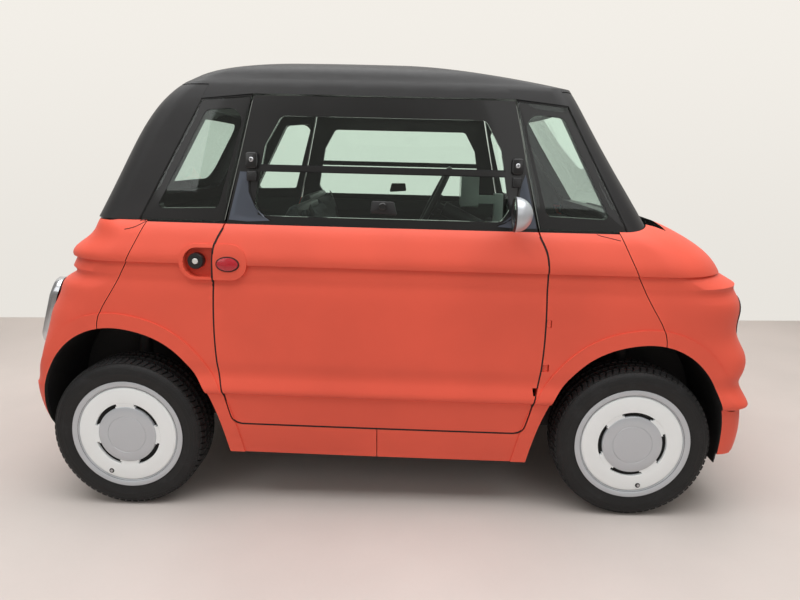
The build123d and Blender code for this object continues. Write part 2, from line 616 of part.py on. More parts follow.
TUB_HALF = LINER_IN - LINER_T - 5.0
SHELF_Z = 642.0
floor_top = FLOOR_Z + FLOOR_T
liner_zone = curve_prism(arch_lines, LINER_T + CLEAR, near=LINER_IN - LINER_T - CLEAR)
rear_liner_zone = liner_zone.mirror(Plane.YZ)
with BuildPart() as floor_pan:
    add(wall_in_gap)
    with BuildSketch(Plane.XY.offset(FLOOR_Z)) as tray:
        Rectangle(1090, 1500)
        with Locations((120, 0)):
            Rectangle(1360, 2 * TUB_HALF)
    extrude(amount=FLOOR_T, mode=Mode.INTERSECT)
    add(liner_zone, mode=Mode.SUBTRACT)
    add(rear_liner_zone, mode=Mode.SUBTRACT)
with BuildPart() as cabin_walls:
    add(wall_in_gap)
    add(side_slab([(776, floor_top - 4), (800, floor_top - 4), (FIREWALL_X + FIREWALL_T, SHELF_Z), (FIREWALL_X + FIREWALL_T, 938),
                   (FIREWALL_X, 938), (FIREWALL_X, SHELF_Z)], TUB_HALF)
        + side_slab([(FIREWALL_X, SHELF_Z), (FIREWALL_X + FIREWALL_T, SHELF_Z), (FIREWALL_X + FIREWALL_T, 938), (FIREWALL_X, 938)], 620)
        + side_slab([(-560, floor_top - 4), (-536, floor_top - 4), (-536, 452), (-560, 452)], TUB_HALF)
        + side_slab([(-1150, 430), (-536, 430), (-536, 452), (-1150, 452)], TUB_HALF)
        + side_slab([(-1150, 430), (-1130, 430), (-1130, SHELF_Z + 20), (-1150, SHELF_Z + 20)], TUB_HALF), mode=Mode.INTERSECT)
with BuildPart() as rails:
    for way in (1, -1):
        mid = way * (RAIL_IN + RAIL_OUT) / 2
        with Locations(((770 + 1185) / 2, mid, RAIL_Z + RAIL_H / 2), ((-1170 - 540) / 2, mid, RAIL_Z + RAIL_H / 2)):
            Box(415, RAIL_OUT - RAIL_IN, RAIL_H)
        with Locations((-1010, mid, RAIL_Z + RAIL_H / 2 + 15)):
            Box(320, RAIL_OUT - RAIL_IN, RAIL_H + 30)
        with Locations((-700, mid, RAIL_Z + RAIL_H / 2)):
            Box(330, RAIL_OUT - RAIL_IN, RAIL_H)
    with Locations((TOW_X, 0, RAIL_Z + RAIL_H / 2), (-1150, 0, RAIL_Z + RAIL_H / 2)):
        Box(40, 2 * TUB_HALF, RAIL_H)
    for way in (1, -1):
        with Locations((FIREWALL_X + 50, way * STRUT_Y, (SHELF_Z + 700) / 2), (-AXLE_X, way * STRUT_Y, (SHELF_Z + 700) / 2)):
            Box(100, 120, 700 - SHELF_Z)
    with Locations((-AXLE_X, 0, 690)):
        Box(60, 2 * STRUT_Y, 20)
    with Locations((-AXLE_X, 0, (452 + 690) / 2)):
        Box(24, 500, 690 - 450)
with BuildPart() as floor_frame:
    add(floor_pan.part)
    add(cabin_walls.part)
    add(rails.part)
with BuildPart() as tow_socket:
    low, high = TOW_Z - TOW_R - 14, RAIL_Z - CLEAR
    with Locations((TOW_X, TOW_Y, (low + high) / 2)):
        Box(TOW_L, 2 * TOW_R + 30, high - low)
    with Locations((TOW_X, TOW_Y, TOW_Z)):
        Cylinder(TOW_R, TOW_L + 20, rotation=(0, 90, 0), mode=Mode.SUBTRACT)
print("floor", floor_frame.part.volume / 1e6, len(floor_frame.part.solids()))

with BuildPart() as liner_ring:
    add(curve_prism(arch_lines, LINER_T, near=LINER_IN - LINER_T))
    add(front_arch, mode=Mode.SUBTRACT)
    add(block(-FAR, FAR, -FAR, FAR, 0, FLOOR_Z + 6), mode=Mode.SUBTRACT)
    with Locations((AXLE_X, 0, HUB_Z)):
        Cylinder(125, 2 * LINER_IN + 20, rotation=(90, 0, 0), mode=Mode.SUBTRACT)
    with Locations((AXLE_X, STRUT_Y, 620), (AXLE_X, -STRUT_Y, 620)):
        Cylinder(STRUT_R + 12, 200, mode=Mode.SUBTRACT)
liner_split = PANEL_SEAM[-1][0] + FLANGE + 5
with BuildPart() as front_liners:
    add(liner_ring.part)
    add(wall_in_gap, mode=Mode.INTERSECT)
    add(block(-FAR, liner_split, -FAR, FAR, 0, FAR), mode=Mode.INTERSECT)
with BuildPart() as front_liner_ends:
    add(liner_ring.part)
    add(skin_in_gap, mode=Mode.INTERSECT)
    add(block(liner_split, FAR, -FAR, FAR, 0, FAR), mode=Mode.INTERSECT)
rear_ring = liner_ring.part.mirror(Plane.YZ)
with BuildPart() as rear_liners:
    add(rear_ring)
    add(wall_in_gap, mode=Mode.INTERSECT)
    add(block(-liner_split, FAR, -FAR, FAR, 0, FAR), mode=Mode.INTERSECT)
with BuildPart() as rear_liner_ends:
    add(rear_ring)
    add(skin_in_gap, mode=Mode.INTERSECT)
    add(block(-FAR, -liner_split, -FAR, FAR, 0, FAR), mode=Mode.INTERSECT)
with BuildPart() as arch_liners:
    add(front_liners.part)
    add(front_liner_ends.part)
    add(rear_liners.part)
    add(rear_liner_ends.part)
print("liners", arch_liners.part.volume / 1e6, len(arch_liners.part.solids()))

# ------------------------------------------------------------------ cabin furniture
# steering wheel and its shaft, drawn about the column axis and then tilted into place
with BuildPart() as steering_upright:
    with BuildSketch(Plane.XZ):
        with Locations((STEER_RING_R, 0)):
            Circle(STEER_GRIP_R)
    revolve(axis=Axis.Z)
    with BuildSketch(Plane.XY.offset(-34)):
        Circle(52)
    extrude(amount=30)
    with BuildSketch(Plane.XY.offset(-16)):
        with Locations((0, 0)):
            Rectangle(2 * STEER_RING_R, 34)
        with Locations((0, -STEER_RING_R / 2)):
            Rectangle(40, STEER_RING_R)
    extrude(amount=12)
    with BuildSketch(Plane.XY.offset(-250)):
        Circle(SHAFT_R)
    extrude(amount=220)


def at_column(part):
    """Stand a part drawn about +Z (towards the driver) on the steering column."""
    return part.rotate(Axis.Z, -90).rotate(Axis.Y, -(90.0 - STEER_TILT)).translate((STEER_X, STEER_Y, STEER_Z))


with BuildPart() as column_sleeve:
    with BuildSketch(Plane.XY.offset(-330)):
        Circle(COLUMN_R)
        Circle(SHAFT_R + CLEAR, mode=Mode.SUBTRACT)
    extrude(amount=270)
with BuildPart() as column_room:
    with BuildSketch(Plane.XY.offset(-330 - CLEAR)):
        Circle(COLUMN_R + CLEAR)
    extrude(amount=330)
print("steering", steering_upright.part.volume / 1e6, len(steering_upright.part.solids()))


with BuildPart() as dashboard:
    add(wall_in_gap)
    add(side_slab([(556, 915), (600, 936), (FIREWALL_X - CLEAR, 940), (FIREWALL_X - CLEAR, 668), (640, 668), (556, 740)], 640)
        + side_slab([(DASH_BACK_X, 880), (DASH_BACK_X + 30, 912), (560, 912), (560, 740), (DASH_BACK_X + 20, 800)], 540), mode=Mode.INTERSECT)
    add(at_column(column_room.part), mode=Mode.SUBTRACT)
with BuildPart() as instrument_display:
    with BuildSketch(Plane.YZ.offset(DASH_BACK_X - 125)):
        with Locations((STEER_Y + 20, 1060)):
            RectangleRounded(170, 146, 14)
    extrude(amount=80)
    with Locations((DASH_BACK_X - 5, STEER_Y + 20, 1020)):
        Box(90, 60, 36)
    with Locations((DASH_BACK_X + 55, STEER_Y + 20, 980)):
        Box(40, 60, 2 * (980 - 912 - CLEAR))
with BuildPart() as cowl_panel:
    add(stack(WALLS, -COWL_RUN - COWL_TUCK))
    add(block(FIREWALL_X + FIREWALL_T + CLEAR, FAR, -TROUGH_HALF - COWL_TUCK, TROUGH_HALF + COWL_TUCK, COWL_Z - 12, COWL_Z), mode=Mode.INTERSECT)
    with BuildPart(mode=Mode.PRIVATE) as riser:
        add(frame_out)
        add(block(FIREWALL_X + FIREWALL_T + CLEAR, FAR, -WALL_TOP_HALF + 2, WALL_TOP_HALF - 2, COWL_Z - 12, BELT_Z - SEAM), mode=Mode.INTERSECT)
    add(riser.part)
    add(skin_in_gap, mode=Mode.INTERSECT)
with BuildPart() as battery_pack:
    with BuildSketch(Plane.XY.offset(floor_top)):
        with Locations(((BATTERY[0] + BATTERY[1]) / 2, 0)):
            Rectangle(BATTERY[1] - BATTERY[0], 2 * BATTERY[2])
    extrude(amount=BATTERY[3])


def seat(y, head_x):
    with BuildPart() as one:
        shift = head_x + 380
        z0 = floor_top + BATTERY[3] + CLEAR
        with BuildSketch(Plane.XZ.offset(-y)) as outline:
            with BuildLine():
                Polyline([(-300 + shift, z0), (140 + shift, z0), (158 + shift, z0 + 100), (-170 + shift, z0 + 92), (-240 + shift, z0 + 300),
                          (-276 + shift, 960), (-300 + shift, SEAT_TOP_Z), (-366 + shift, SEAT_TOP_Z), (-398 + shift, 980),
                          (-392 + shift, 880), (-362 + shift, 600), (-320 + shift, z0 + 30)], close=True)
            make_face()
            fillet(outline.vertices().sort_by(Axis.Z)[2:], 16)
        extrude(amount=SEAT_HALF, both=True)
    return one.part


with BuildPart() as pedals:
    for y in (STEER_Y - 60, STEER_Y - 170):
        with BuildSketch(Plane.XZ.offset(-y)):
            with BuildLine():
                Polyline([(756, floor_top + CLEAR), (770, floor_top + CLEAR), (742, 420), (728, 416)], close=True)
            make_face()
        extrude(amount=30, both=True)
print("cabin", [round(p.part.volume / 1e6, 2) for p in (dashboard, instrument_display, cowl_panel, battery_pack, pedals)], [len(p.part.solids()) for p in (dashboard, instrument_display, cowl_panel, battery_pack, pedals)])

# ------------------------------------------------------------------ running gear; t is the distance outboard of a tyre's centre plane
def ring(points):
    """Revolve a profile of (radius, t) pairs about the hub axis, t along +Y."""
    with BuildPart() as turned:
        with BuildSketch(Plane.XY):
            with BuildLine():
                Polyline(points, close=True)
            make_face()
        revolve(axis=Axis.Y)
    return turned.part


def tube(r0, r1, t0, t1):
    return ring([(r0, t0), (r1, t0), (r1, t1), (r0, t1)])


half = TYRE_W / 2
seat_r = BEAD_R + CLEAR
with BuildPart() as tyre:
    with BuildSketch(Plane.XY):
        with BuildLine():
            up = Spline((seat_r + 17, half - 13), (seat_r + 32, half - 4), (seat_r + 50, half), (seat_r + 66, half - 4), (TYRE_SHOULDER_R, half - 13))
            down = Spline((seat_r + 17, 13 - half), (seat_r + 32, 4 - half), (seat_r + 50, -half), (seat_r + 66, 4 - half), (TYRE_SHOULDER_R, 13 - half))
            crown = ThreePointArc((TYRE_R - 2, TYRE_TREAD_HALF), (TYRE_R, 0), (TYRE_R - 2, -TYRE_TREAD_HALF))
            Line(up @ 1, crown @ 0)
            Line(down @ 1, crown @ 1)
            Polyline(up @ 0, (seat_r, half - 14), (seat_r, half - 30), (seat_r + 18, half - 28), (seat_r + 40, half - 14), (seat_r + 62, half - 18),
                     (TYRE_R - 13, half - 32), (TYRE_R - 11, 0), (TYRE_R - 13, 32 - half), (seat_r + 62, 18 - half), (seat_r + 40, 14 - half),
                     (seat_r + 18, 28 - half), (seat_r, 30 - half), (seat_r, 14 - half), down @ 0)
        make_face()
    revolve(axis=Axis.Y)

face_t = half - 12 + CLEAR            # outer side of the tyre bead
with BuildPart() as wheel:
    add(tube(BEAD_R - RIM_WALL, BEAD_R, -face_t - 4, face_t + 6))
    add(tube(BEAD_R - 1, BEAD_R + 12, -face_t - 4, -face_t))
    add(ring([(BEAD_R - 6, face_t), (COVER_R, face_t), (COVER_R, face_t + 4), (COVER_R - 6, face_t + 8), (BEAD_R - 2, face_t + 8), (BEAD_R - 6, face_t + 2)]))
    add(ring([(40, face_t - 5), (BEAD_R - 2, face_t - 5), (BEAD_R - 2, face_t), (171, face_t), (169, face_t + 5), (114, face_t + 6), (112, face_t + 3),
              (101, face_t + 3), (98, face_t + 7), (72, face_t + 8), (66, face_t + 5), (62, face_t + 8), (40, face_t + 10)]))
    add(tube(0, 41, face_t - 5, face_t + 10))
    add(tube(40, BEAD_R - 3, 34, 40))
    add(tube(SPINDLE_R + SPINDLE_FIT, HUB_R, 8, 52))
    add(tube(0, HUB_R, 50, 56))
    add(tube(0, 20, 55, face_t - 4))
    with BuildSketch(Plane.XZ.offset(-face_t + 20)) as slots:
        with PolarLocations(0, 4, start_angle=0):
            with BuildLine():
                a = CenterArc((0, 0), 99, -29, 58)
                b = CenterArc((0, 0), 114, -29, 58)
                Line(a @ 0, b @ 0)
                Line(a @ 1, b @ 1)
            make_face()
        with Locations((155, 0)):
            Circle(6)
    extrude(amount=-50, mode=Mode.SUBTRACT)
print("wheel", wheel.part.volume / 1e6, len(wheel.part.solids()), "tyre", tyre.part.volume / 1e6, len(tyre.part.solids()))

with BuildPart() as knuckle:
    with Locations((0, -KINGPIN_IN, (UPRIGHT_LOW + UPRIGHT_HIGH) / 2 - HUB_Z)):
        Box(60, 50, UPRIGHT_HIGH - UPRIGHT_LOW)
    add(tube(0, DRUM_R, -KINGPIN_IN + 24, 2))
    add(tube(0, SPINDLE_R, 0, 46))
    with Locations((75, -KINGPIN_IN - 8, -45)):
        Box(110, 18, 16)
    with Locations((0, -KINGPIN_IN, 0)):
        Cylinder(KINGPIN_R + SPINDLE_FIT, 400, mode=Mode.SUBTRACT)
    add(tube(0, DRUM_R - 20, -KINGPIN_IN + 12, 0))
with BuildPart() as knuckle_bored:
    add(knuckle.part)
    with Locations((0, -KINGPIN_IN, UPRIGHT_LOW - HUB_Z + 17.5), (0, -KINGPIN_IN, UPRIGHT_HIGH - HUB_Z - 17.5)):
        Cylinder(KINGPIN_R + SPINDLE_FIT, 35, mode=Mode.SUBTRACT)
print("knuckle", knuckle_bored.part.volume / 1e6, len(knuckle_bored.part.solids()))


def at_wheel(part, axle, way):
    """Move a part drawn at a left-hand wheel's centre to the wheel on one side of the car."""
    moved = part if way > 0 else part.mirror(Plane.XZ)
    return moved.translate((axle * AXLE_X, way * TRACK_HALF, HUB_Z))


kingpin_y = TRACK_HALF - KINGPIN_IN
with BuildPart() as front_suspension:
    for way in (1, -1):
        with BuildSketch(Plane.XY.offset(ARM_Z)):
            with BuildLine():
                Polyline([(AXLE_X - 20, way * kingpin_y), (AXLE_X + 20, way * kingpin_y), (AXLE_X + 100, way * 335), (AXLE_X + 100, way * 300),
                          (AXLE_X - 30, way * 300), (AXLE_X - 30, way * 335)], close=True)
            make_face()
            with Locations((AXLE_X, way * kingpin_y)):
                Circle(20)
        extrude(amount=ARM_T)
        with Locations((AXLE_X, way * kingpin_y, (ARM_Z + UPRIGHT_LOW + 34) / 2)):
            Cylinder(KINGPIN_R, UPRIGHT_LOW + 34 - ARM_Z)
        post_top = raked_z(AXLE_X + 91, RAIL_Z) - CLEAR
        with Locations((AXLE_X + 76, way * (RAIL_IN + 18), (ARM_Z + post_top) / 2)):
            Box(30, 30, post_top - ARM_Z)
        with Locations((AXLE_X + 126, way * 195, ARM_Z + 20)):
            Box(90, 30, 40)
    with Locations((AXLE_X + 80, 0, ARM_Z + 15)):
        Box(40, 640, 30)
    with Locations((1020, 0, ARM_Z + 36)):
        Cylinder(18, 560, rotation=(90, 0, 0))
with BuildPart() as strut:
    with Locations((0, 0, UPRIGHT_HIGH + 15)):
        Box(44, 30, 14)
    with BuildSketch(Plane.XY.offset(UPRIGHT_HIGH + 8)):
        with Locations((0, (STRUT_Y - kingpin_y) / 2)):
            Rectangle(36, abs(STRUT_Y - kingpin_y) + 10)
        Circle(16)
        with Locations((0, STRUT_Y - kingpin_y)):
            Circle(STRUT_R)
    extrude(amount=14)
    with BuildSketch(Plane.XY.offset(UPRIGHT_HIGH - 34)):
        Circle(KINGPIN_R)
    extrude(amount=44)
    with BuildSketch(Plane.XY.offset(UPRIGHT_HIGH + 8)):
        with Locations((0, STRUT_Y - kingpin_y)):
            Circle(STRUT_R)
    extrude(amount=raked_z(AXLE_X + STRUT_R, SHELF_Z) - CLEAR - UPRIGHT_HIGH - 8)
for way in (1, -1):
    side_strut = strut.part if way > 0 else strut.part.mirror(Plane.XZ)
    with BuildPart() as grown_suspension:
        add(front_suspension.part)
        add(side_strut.translate((AXLE_X, way * kingpin_y, 0)))
    front_suspension = grown_suspension
with BuildPart() as rear_axle:
    with Locations((-AXLE_X, 0, HUB_Z)):
        Cylinder(BEAM_R, 2 * (TRACK_HALF - 60), rotation=(90, 0, 0))
    for way in (1, -1):
        with Locations((-AXLE_X + 110, way * 350, HUB_Z + 10)):
            Box(280, 30, 34)
        bracket_top = raked_z(-AXLE_X + 255, RAIL_Z) - CLEAR
        spring_top = raked_z(-AXLE_X + 34, RAIL_Z) - CLEAR
        damper_top = raked_z(-AXLE_X + STRUT_R, SHELF_Z) - CLEAR
        with Locations((-AXLE_X + 235, way * 350, (HUB_Z + bracket_top) / 2)):
            Box(40, 30, bracket_top - HUB_Z)
        with Locations((-AXLE_X, way * (RAIL_IN + RAIL_OUT) / 2, (HUB_Z + spring_top) / 2)):
            Cylinder(34, spring_top - HUB_Z)
        with Locations((-AXLE_X, way * STRUT_Y, (HUB_Z + damper_top) / 2)):
            Cylinder(STRUT_R, damper_top - HUB_Z)
rear_hub = tube(0, DRUM_R, -KINGPIN_IN + 24, 2) + tube(0, SPINDLE_R, 0, 46) + tube(0, 50, -KINGPIN_IN, 0)
with BuildPart() as rear_axle_whole:
    add(rear_axle.part)
    add(at_wheel(rear_hub, -1, 1))
    add(at_wheel(rear_hub, -1, -1))
with BuildPart() as motor_unit:
    with BuildSketch(Plane.XY.offset(245)):
        with Locations((970, 10)):
            Rectangle(190, 380)
    extrude(amount=185)
    with Locations((AXLE_X + 80, 120, (ARM_Z + 30 + CLEAR + 246) / 2), (AXLE_X + 80, -120, (ARM_Z + 30 + CLEAR + 246) / 2)):
        Box(30, 40, 246 - ARM_Z - 30 - CLEAR)
    with Locations((AXLE_X, 0, HUB_Z)):
        Cylinder(13, 1000, rotation=(90, 0, 0))
        Cylinder(40, 360, rotation=(90, 0, 0))
    with Locations((AXLE_X, 488, HUB_Z), (AXLE_X, -488, HUB_Z)):
        Cylinder(26, 36, rotation=(90, 0, 0))
print("running gear", [round(p.part.volume / 1e6, 2) for p in (front_suspension, rear_axle_whole, motor_unit)], [len(p.part.solids()) for p in (front_suspension, rear_axle_whole, motor_unit)])


# ------------------------------------------------------------------ lamps, plates, mirrors
def pill(y, z, wide, tall, x0, x1):
    with BuildPart() as post:
        for way in (1, -1):
            with BuildSketch(Plane.YZ.offset(x0)):
                with Locations((way * y, z)):
                    SlotCenterToCenter(tall - wide, wide, rotation=90)
            extrude(amount=x1 - x0)
    return post.part


outer_gap = lower_body(-CLEAR)
with BuildPart() as tail_lamps:
    add(lower_body(-TAIL_PROUD))
    add(pill(TAIL_Y, TAIL_Z, TAIL_WIDE, TAIL_TALL, -FAR, -900), mode=Mode.INTERSECT)
    add(outer_gap, mode=Mode.SUBTRACT)
with BuildPart() as head_lamps:
    add(lower_body(-HEAD_PROUD))
    add(pill(HEAD_Y, HEAD_Z, HEAD_WIDE, HEAD_TALL, 900, FAR), mode=Mode.INTERSECT)
    add(outer_gap, mode=Mode.SUBTRACT)
with BuildPart() as number_plates:
    with Locations((MIDDLE[0][1] + CLEAR + 3, 0, 470), (-MIDDLE[0][2] - CLEAR - 3, 0, 430)):
        Box(16, 260, 130)
    add(outer_gap, mode=Mode.SUBTRACT)
with BuildPart() as mirror_pods:
    for way in (1, -1):
        with Locations((MIRROR_X, way * MIRROR_Y, MIRROR_Z)):
            Sphere(MIRROR_R)
    add(block(-FAR, MIRROR_X, -FAR, FAR, 0, FAR), mode=Mode.SUBTRACT)
with BuildPart() as mirror_arms:
    for way in (1, -1):
        with Locations((MIRROR_X + 14, way * (MIRROR_Y - 65), MIRROR_Z - 8)):
            Cylinder(9, 90, rotation=(90, 0, 0))
    add(glasshouse(-CLEAR), mode=Mode.SUBTRACT)
with BuildPart() as mirrors:
    add(mirror_pods.part)
    add(mirror_arms.part)
with BuildPart() as wiper:
    with BuildSketch(Plane.XY.offset(COWL_Z + CLEAR)):
        with Locations((WIPER_X, 0)):
            Circle(11)
    extrude(amount=24)
    with Locations((WIPER_X, 210, COWL_Z + 18)):
        Box(12, 420, 8)
print("trim", [round(p.part.volume / 1e6, 3) for p in (tail_lamps, head_lamps, number_plates, mirrors, wiper)], [len(p.part.solids()) for p in (tail_lamps, head_lamps, number_plates, mirrors, wiper)])

# ------------------------------------------------------------------ every piece, placed and written
body_pieces = {
    "front_clamshell": front_clamshell, "rear_clamshell": rear_clamshell, "front_side_panels": front_side_panels, "rear_side_panels": rear_side_panels,
    "quarter_glasses": quarter_glasses, "windscreen": windscreen, "rear_window": rear_window, "roof_panel": roof_panel, "roof_glass": roof_glass,
    "cab_frame": cab_frame, "floor_pan": floor_frame, "arch_liners": arch_liners, "dashboard": dashboard, "instrument_display": instrument_display,
    "cowl_panel": cowl_panel, "battery_pack": battery_pack, "pedals": pedals, "tail_lamps": tail_lamps, "head_lamps": head_lamps,
    "number_plates": number_plates, "wiper": wiper, "tow_socket": tow_socket,
}
for name, piece in body_pieces.items():
    keep(on_rake(piece.part), name)
for name, y, head_x in (("left_seat", SEAT_Y, SEAT_BACK_X[0]), ("right_seat", -SEAT_Y, SEAT_BACK_X[1])):
    keep(on_rake(seat(y, head_x)), name)
keep(on_rake(at_column(steering_upright.part)), "steering_wheel")
keep(on_rake(at_column(column_sleeve.part)), "steering_column")
for side, way in (("right", -1), ("left", 1)):
    half_space = block(-FAR, FAR, 0, FAR, 0, FAR) if way > 0 else block(-FAR, FAR, -FAR, 0, 0, FAR)
    for both, name in ((door_skins, "door_panel"), (door_frames, "door_frame"), (door_glasses, "door_glass"), (mirrors, "mirror")):
        with BuildPart() as one_side:
            add(both.part)
            add(half_space, mode=Mode.INTERSECT)
        keep(on_rake(one_side.part), side + "_" + name)
    for end, axle in (("front", 1), ("rear", -1)):
        keep(at_wheel(tyre.part, axle, way), end + "_" + side + "_tyre")
        keep(at_wheel(wheel.part, axle, way), end + "_" + side + "_wheel")
    keep(at_wheel(knuckle_bored.part, 1, way), side + "_knuckle")
keep(front_suspension.part, "front_suspension")
keep(rear_axle_whole.part, "rear_axle")
keep(motor_unit.part, "motor_unit")
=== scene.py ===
import json
import math

import bmesh
import bpy
from bpy.props import FloatProperty, FloatVectorProperty, IntProperty, PointerProperty
from mathutils import Matrix, Vector
from mathutils.bvhtree import BVHTree


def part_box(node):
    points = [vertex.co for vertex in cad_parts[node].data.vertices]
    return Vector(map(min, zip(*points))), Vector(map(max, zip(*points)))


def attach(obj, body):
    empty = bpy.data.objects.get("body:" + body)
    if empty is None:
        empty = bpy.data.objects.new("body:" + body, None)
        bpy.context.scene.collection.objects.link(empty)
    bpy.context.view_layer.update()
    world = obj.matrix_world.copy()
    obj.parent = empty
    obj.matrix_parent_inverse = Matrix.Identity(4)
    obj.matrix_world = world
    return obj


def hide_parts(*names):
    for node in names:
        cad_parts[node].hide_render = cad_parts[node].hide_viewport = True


bl_info = {
    "name": "Microcar dressing",
    "version": (1, 0, 0),
    "blender": (4, 5, 0),
    "location": "View3D > Sidebar > Microcar",
    "description": "Finishes, trim, wheels, seats and studio for a two-seat electric microcar",
    "category": "Object",
}

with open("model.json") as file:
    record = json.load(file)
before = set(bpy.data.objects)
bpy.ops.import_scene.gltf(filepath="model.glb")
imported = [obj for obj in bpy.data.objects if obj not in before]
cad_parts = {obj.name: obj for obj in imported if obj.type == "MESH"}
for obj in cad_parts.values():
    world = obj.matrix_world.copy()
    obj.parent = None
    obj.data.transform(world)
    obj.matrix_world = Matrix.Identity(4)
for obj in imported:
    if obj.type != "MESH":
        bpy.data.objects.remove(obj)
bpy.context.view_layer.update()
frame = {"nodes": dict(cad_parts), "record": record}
RECORD = frame["record"]
JOINTS = {j["name"]: j for j in RECORD["behaviour"]["joints"]}
BODY_UP = Vector(JOINTS["right_door_hinge"]["axis"]).normalized()
AXLES = {}
for end in ("front", "rear"):
    for side in ("right", "left"):
        AXLES[end, side] = Vector(JOINTS["%s_%s_spin" % (end, side)]["pos_m"])
HUB = (AXLES["front", "right"] + AXLES["rear", "left"]) / 2
# the body sits nose-down on its wheels: level body coordinates to the row's frame
PITCH = math.atan2(BODY_UP.x, BODY_UP.z)
LEVEL = Matrix.Translation(HUB) @ Matrix.Rotation(PITCH, 4, "Y") @ Matrix.Translation((0, 0, -HUB.z))
SIDES = (("right", -1), ("left", 1))


def srgb(r, g, b):
    """A colour given as 0-255 screen values, as linear numbers."""
    return tuple(((c / 255 + 0.055) / 1.055) ** 2.4 if c > 10 else c / 255 / 12.92 for c in (r, g, b))


# ------------------------------------------------------------------ values a user would change
def size(label, text, default, **more):
    return FloatProperty(name=label, description=text, default=default, unit="LENGTH", subtype="DISTANCE",
                         **more)


def tint(label, text, r, g, b):
    return FloatVectorProperty(name=label, description=text, default=srgb(r, g, b), size=3, subtype="COLOR",
                               min=0, max=1)


class MicrocarColours(bpy.types.PropertyGroup):
    paint: tint("Body", "Moulded body panels", 233, 92, 70)
    black: tint("Black trim", "Roof, pillars and window frames", 30, 30, 31)
    glass: tint("Glass", "Tint of the side and end glass", 238, 252, 245)
    cover: tint("Wheel cover", "Painted face of the wheel covers", 250, 254, 255)
    silver: tint("Silver", "Mirror pods, lamp rims and cover rings", 196, 200, 205)
    cloth: tint("Seat cloth", "Woven seat pads", 60, 62, 64)
    floor: tint("Floor", "Studio floor", 208, 200, 195)
    wall: tint("Wall", "Studio wall", 243, 239, 232)


class MicrocarSizes(bpy.types.PropertyGroup):
    tyre_radius: size("Tyre radius", "Crown of the tread", round(AXLES["front", "right"].z, 4))
    tyre_width: size("Tyre width", "Overall width of a tyre", 0.155)
    cover_radius: size("Cover radius", "Outer edge of the wheel cover", 0.196)
    tread_pitch: IntProperty(name="Tread pitch", description="Tread blocks round a tyre", default=72,
                             min=12, max=200)
    lens: FloatProperty(name="Lens", description="Camera focal length in mm", default=28.07)


# ------------------------------------------------------------------ shader maths
class Wire:
    """A shader value that can be written in sums; each sum adds its Math node."""

    def __init__(self, book, socket):
        self.book, self.socket = book, socket

    def _math(self, operation, *values):
        return self.book.node("ShaderNodeMath", {"operation": operation}, *values)

    def __add__(self, other): return self._math("ADD", self, other)
    def __radd__(self, other): return self._math("ADD", other, self)
    def __sub__(self, other): return self._math("SUBTRACT", self, other)
    def __rsub__(self, other): return self._math("SUBTRACT", other, self)
    def __mul__(self, other): return self._math("MULTIPLY", self, other)
    def __rmul__(self, other): return self._math("MULTIPLY", other, self)
    def __truediv__(self, other): return self._math("DIVIDE", self, other)
    def __pow__(self, other): return self._math("POWER", self, other)
    def __gt__(self, other): return self._math("GREATER_THAN", self, other)
    def __lt__(self, other): return self._math("LESS_THAN", self, other)
    def __abs__(self): return self._math("ABSOLUTE", self)

    def wave(self):
        return self._math("SINE", self)

    def clip(self, low, high):
        """0 below low, 1 above high, smooth between."""
        return self.book.node("ShaderNodeMapRange", {"interpolation_type": "SMOOTHSTEP"}, self, low, high,
                              0.0, 1.0)


class Book:
    """One material: its nodes are added by name, settings first and then socket values or links."""

    def __init__(self, name):
        self.material = bpy.data.materials.new(name)
        self.material.use_nodes = True
        self.tree = self.material.node_tree
        self.tree.nodes.clear()
        self.count = 0

    def node(self, kind, settings=None, *values, out=0, **named):
        item = self.tree.nodes.new(kind)
        self.count += 1
        item.location = (220 * (self.count % 12), -260 * (self.count // 12))
        for key, value in (settings or {}).items():
            setattr(item, key, value)
        pairs = list(zip(item.inputs, values))
        pairs += [(item.inputs[key.replace("_", " ")], value) for key, value in named.items()]
        for socket, value in pairs:
            if value is None:
                continue
            if isinstance(value, Wire):
                self.tree.links.new(value.socket, socket)
            elif socket.type == "RGBA" and len(value) == 3:
                socket.default_value = (*value, 1)
            else:
                socket.default_value = value
        return Wire(self, item.outputs[out]) if len(item.outputs) else None

    def place(self):
        return self.node("ShaderNodeTexCoord", None, out="Object")

    def split(self, vector):
        first = self.node("ShaderNodeSeparateXYZ", None, vector)
        return [Wire(self, o) for o in first.socket.node.outputs]

    def noise(self, scale, detail=3.0, roughness=0.5, where=None):
        return self.node("ShaderNodeTexNoise", None, Vector=where or self.place(), Scale=scale,
                         Detail=detail, Roughness=roughness)

    def mix(self, factor, a, b):
        item = self.node("ShaderNodeMix", {"data_type": "RGBA"}, factor, out=2)
        spare = item.socket.node
        for socket, value in ((spare.inputs[6], a), (spare.inputs[7], b)):
            if isinstance(value, Wire):
                self.tree.links.new(value.socket, socket)
            else:
                socket.default_value = (*value, 1)
        return item

    def bump(self, height, strength, distance=0.001):
        return self.node("ShaderNodeBump", None, Strength=strength, Distance=distance, Height=height)

    def finish(self, **named):
        shader = self.node("ShaderNodeBsdfPrincipled", None, **named)
        self.node("ShaderNodeOutputMaterial", None, shader)
        return self.material


def scaled(colour, k):
    return tuple(min(1.0, c * k) for c in colour)


def edge_wear(book, low=0.52, high=0.6):
    """Where a surface turns outwards sharply."""
    pointiness = book.node("ShaderNodeNewGeometry", None, out="Pointiness")
    return pointiness.clip(low, high)


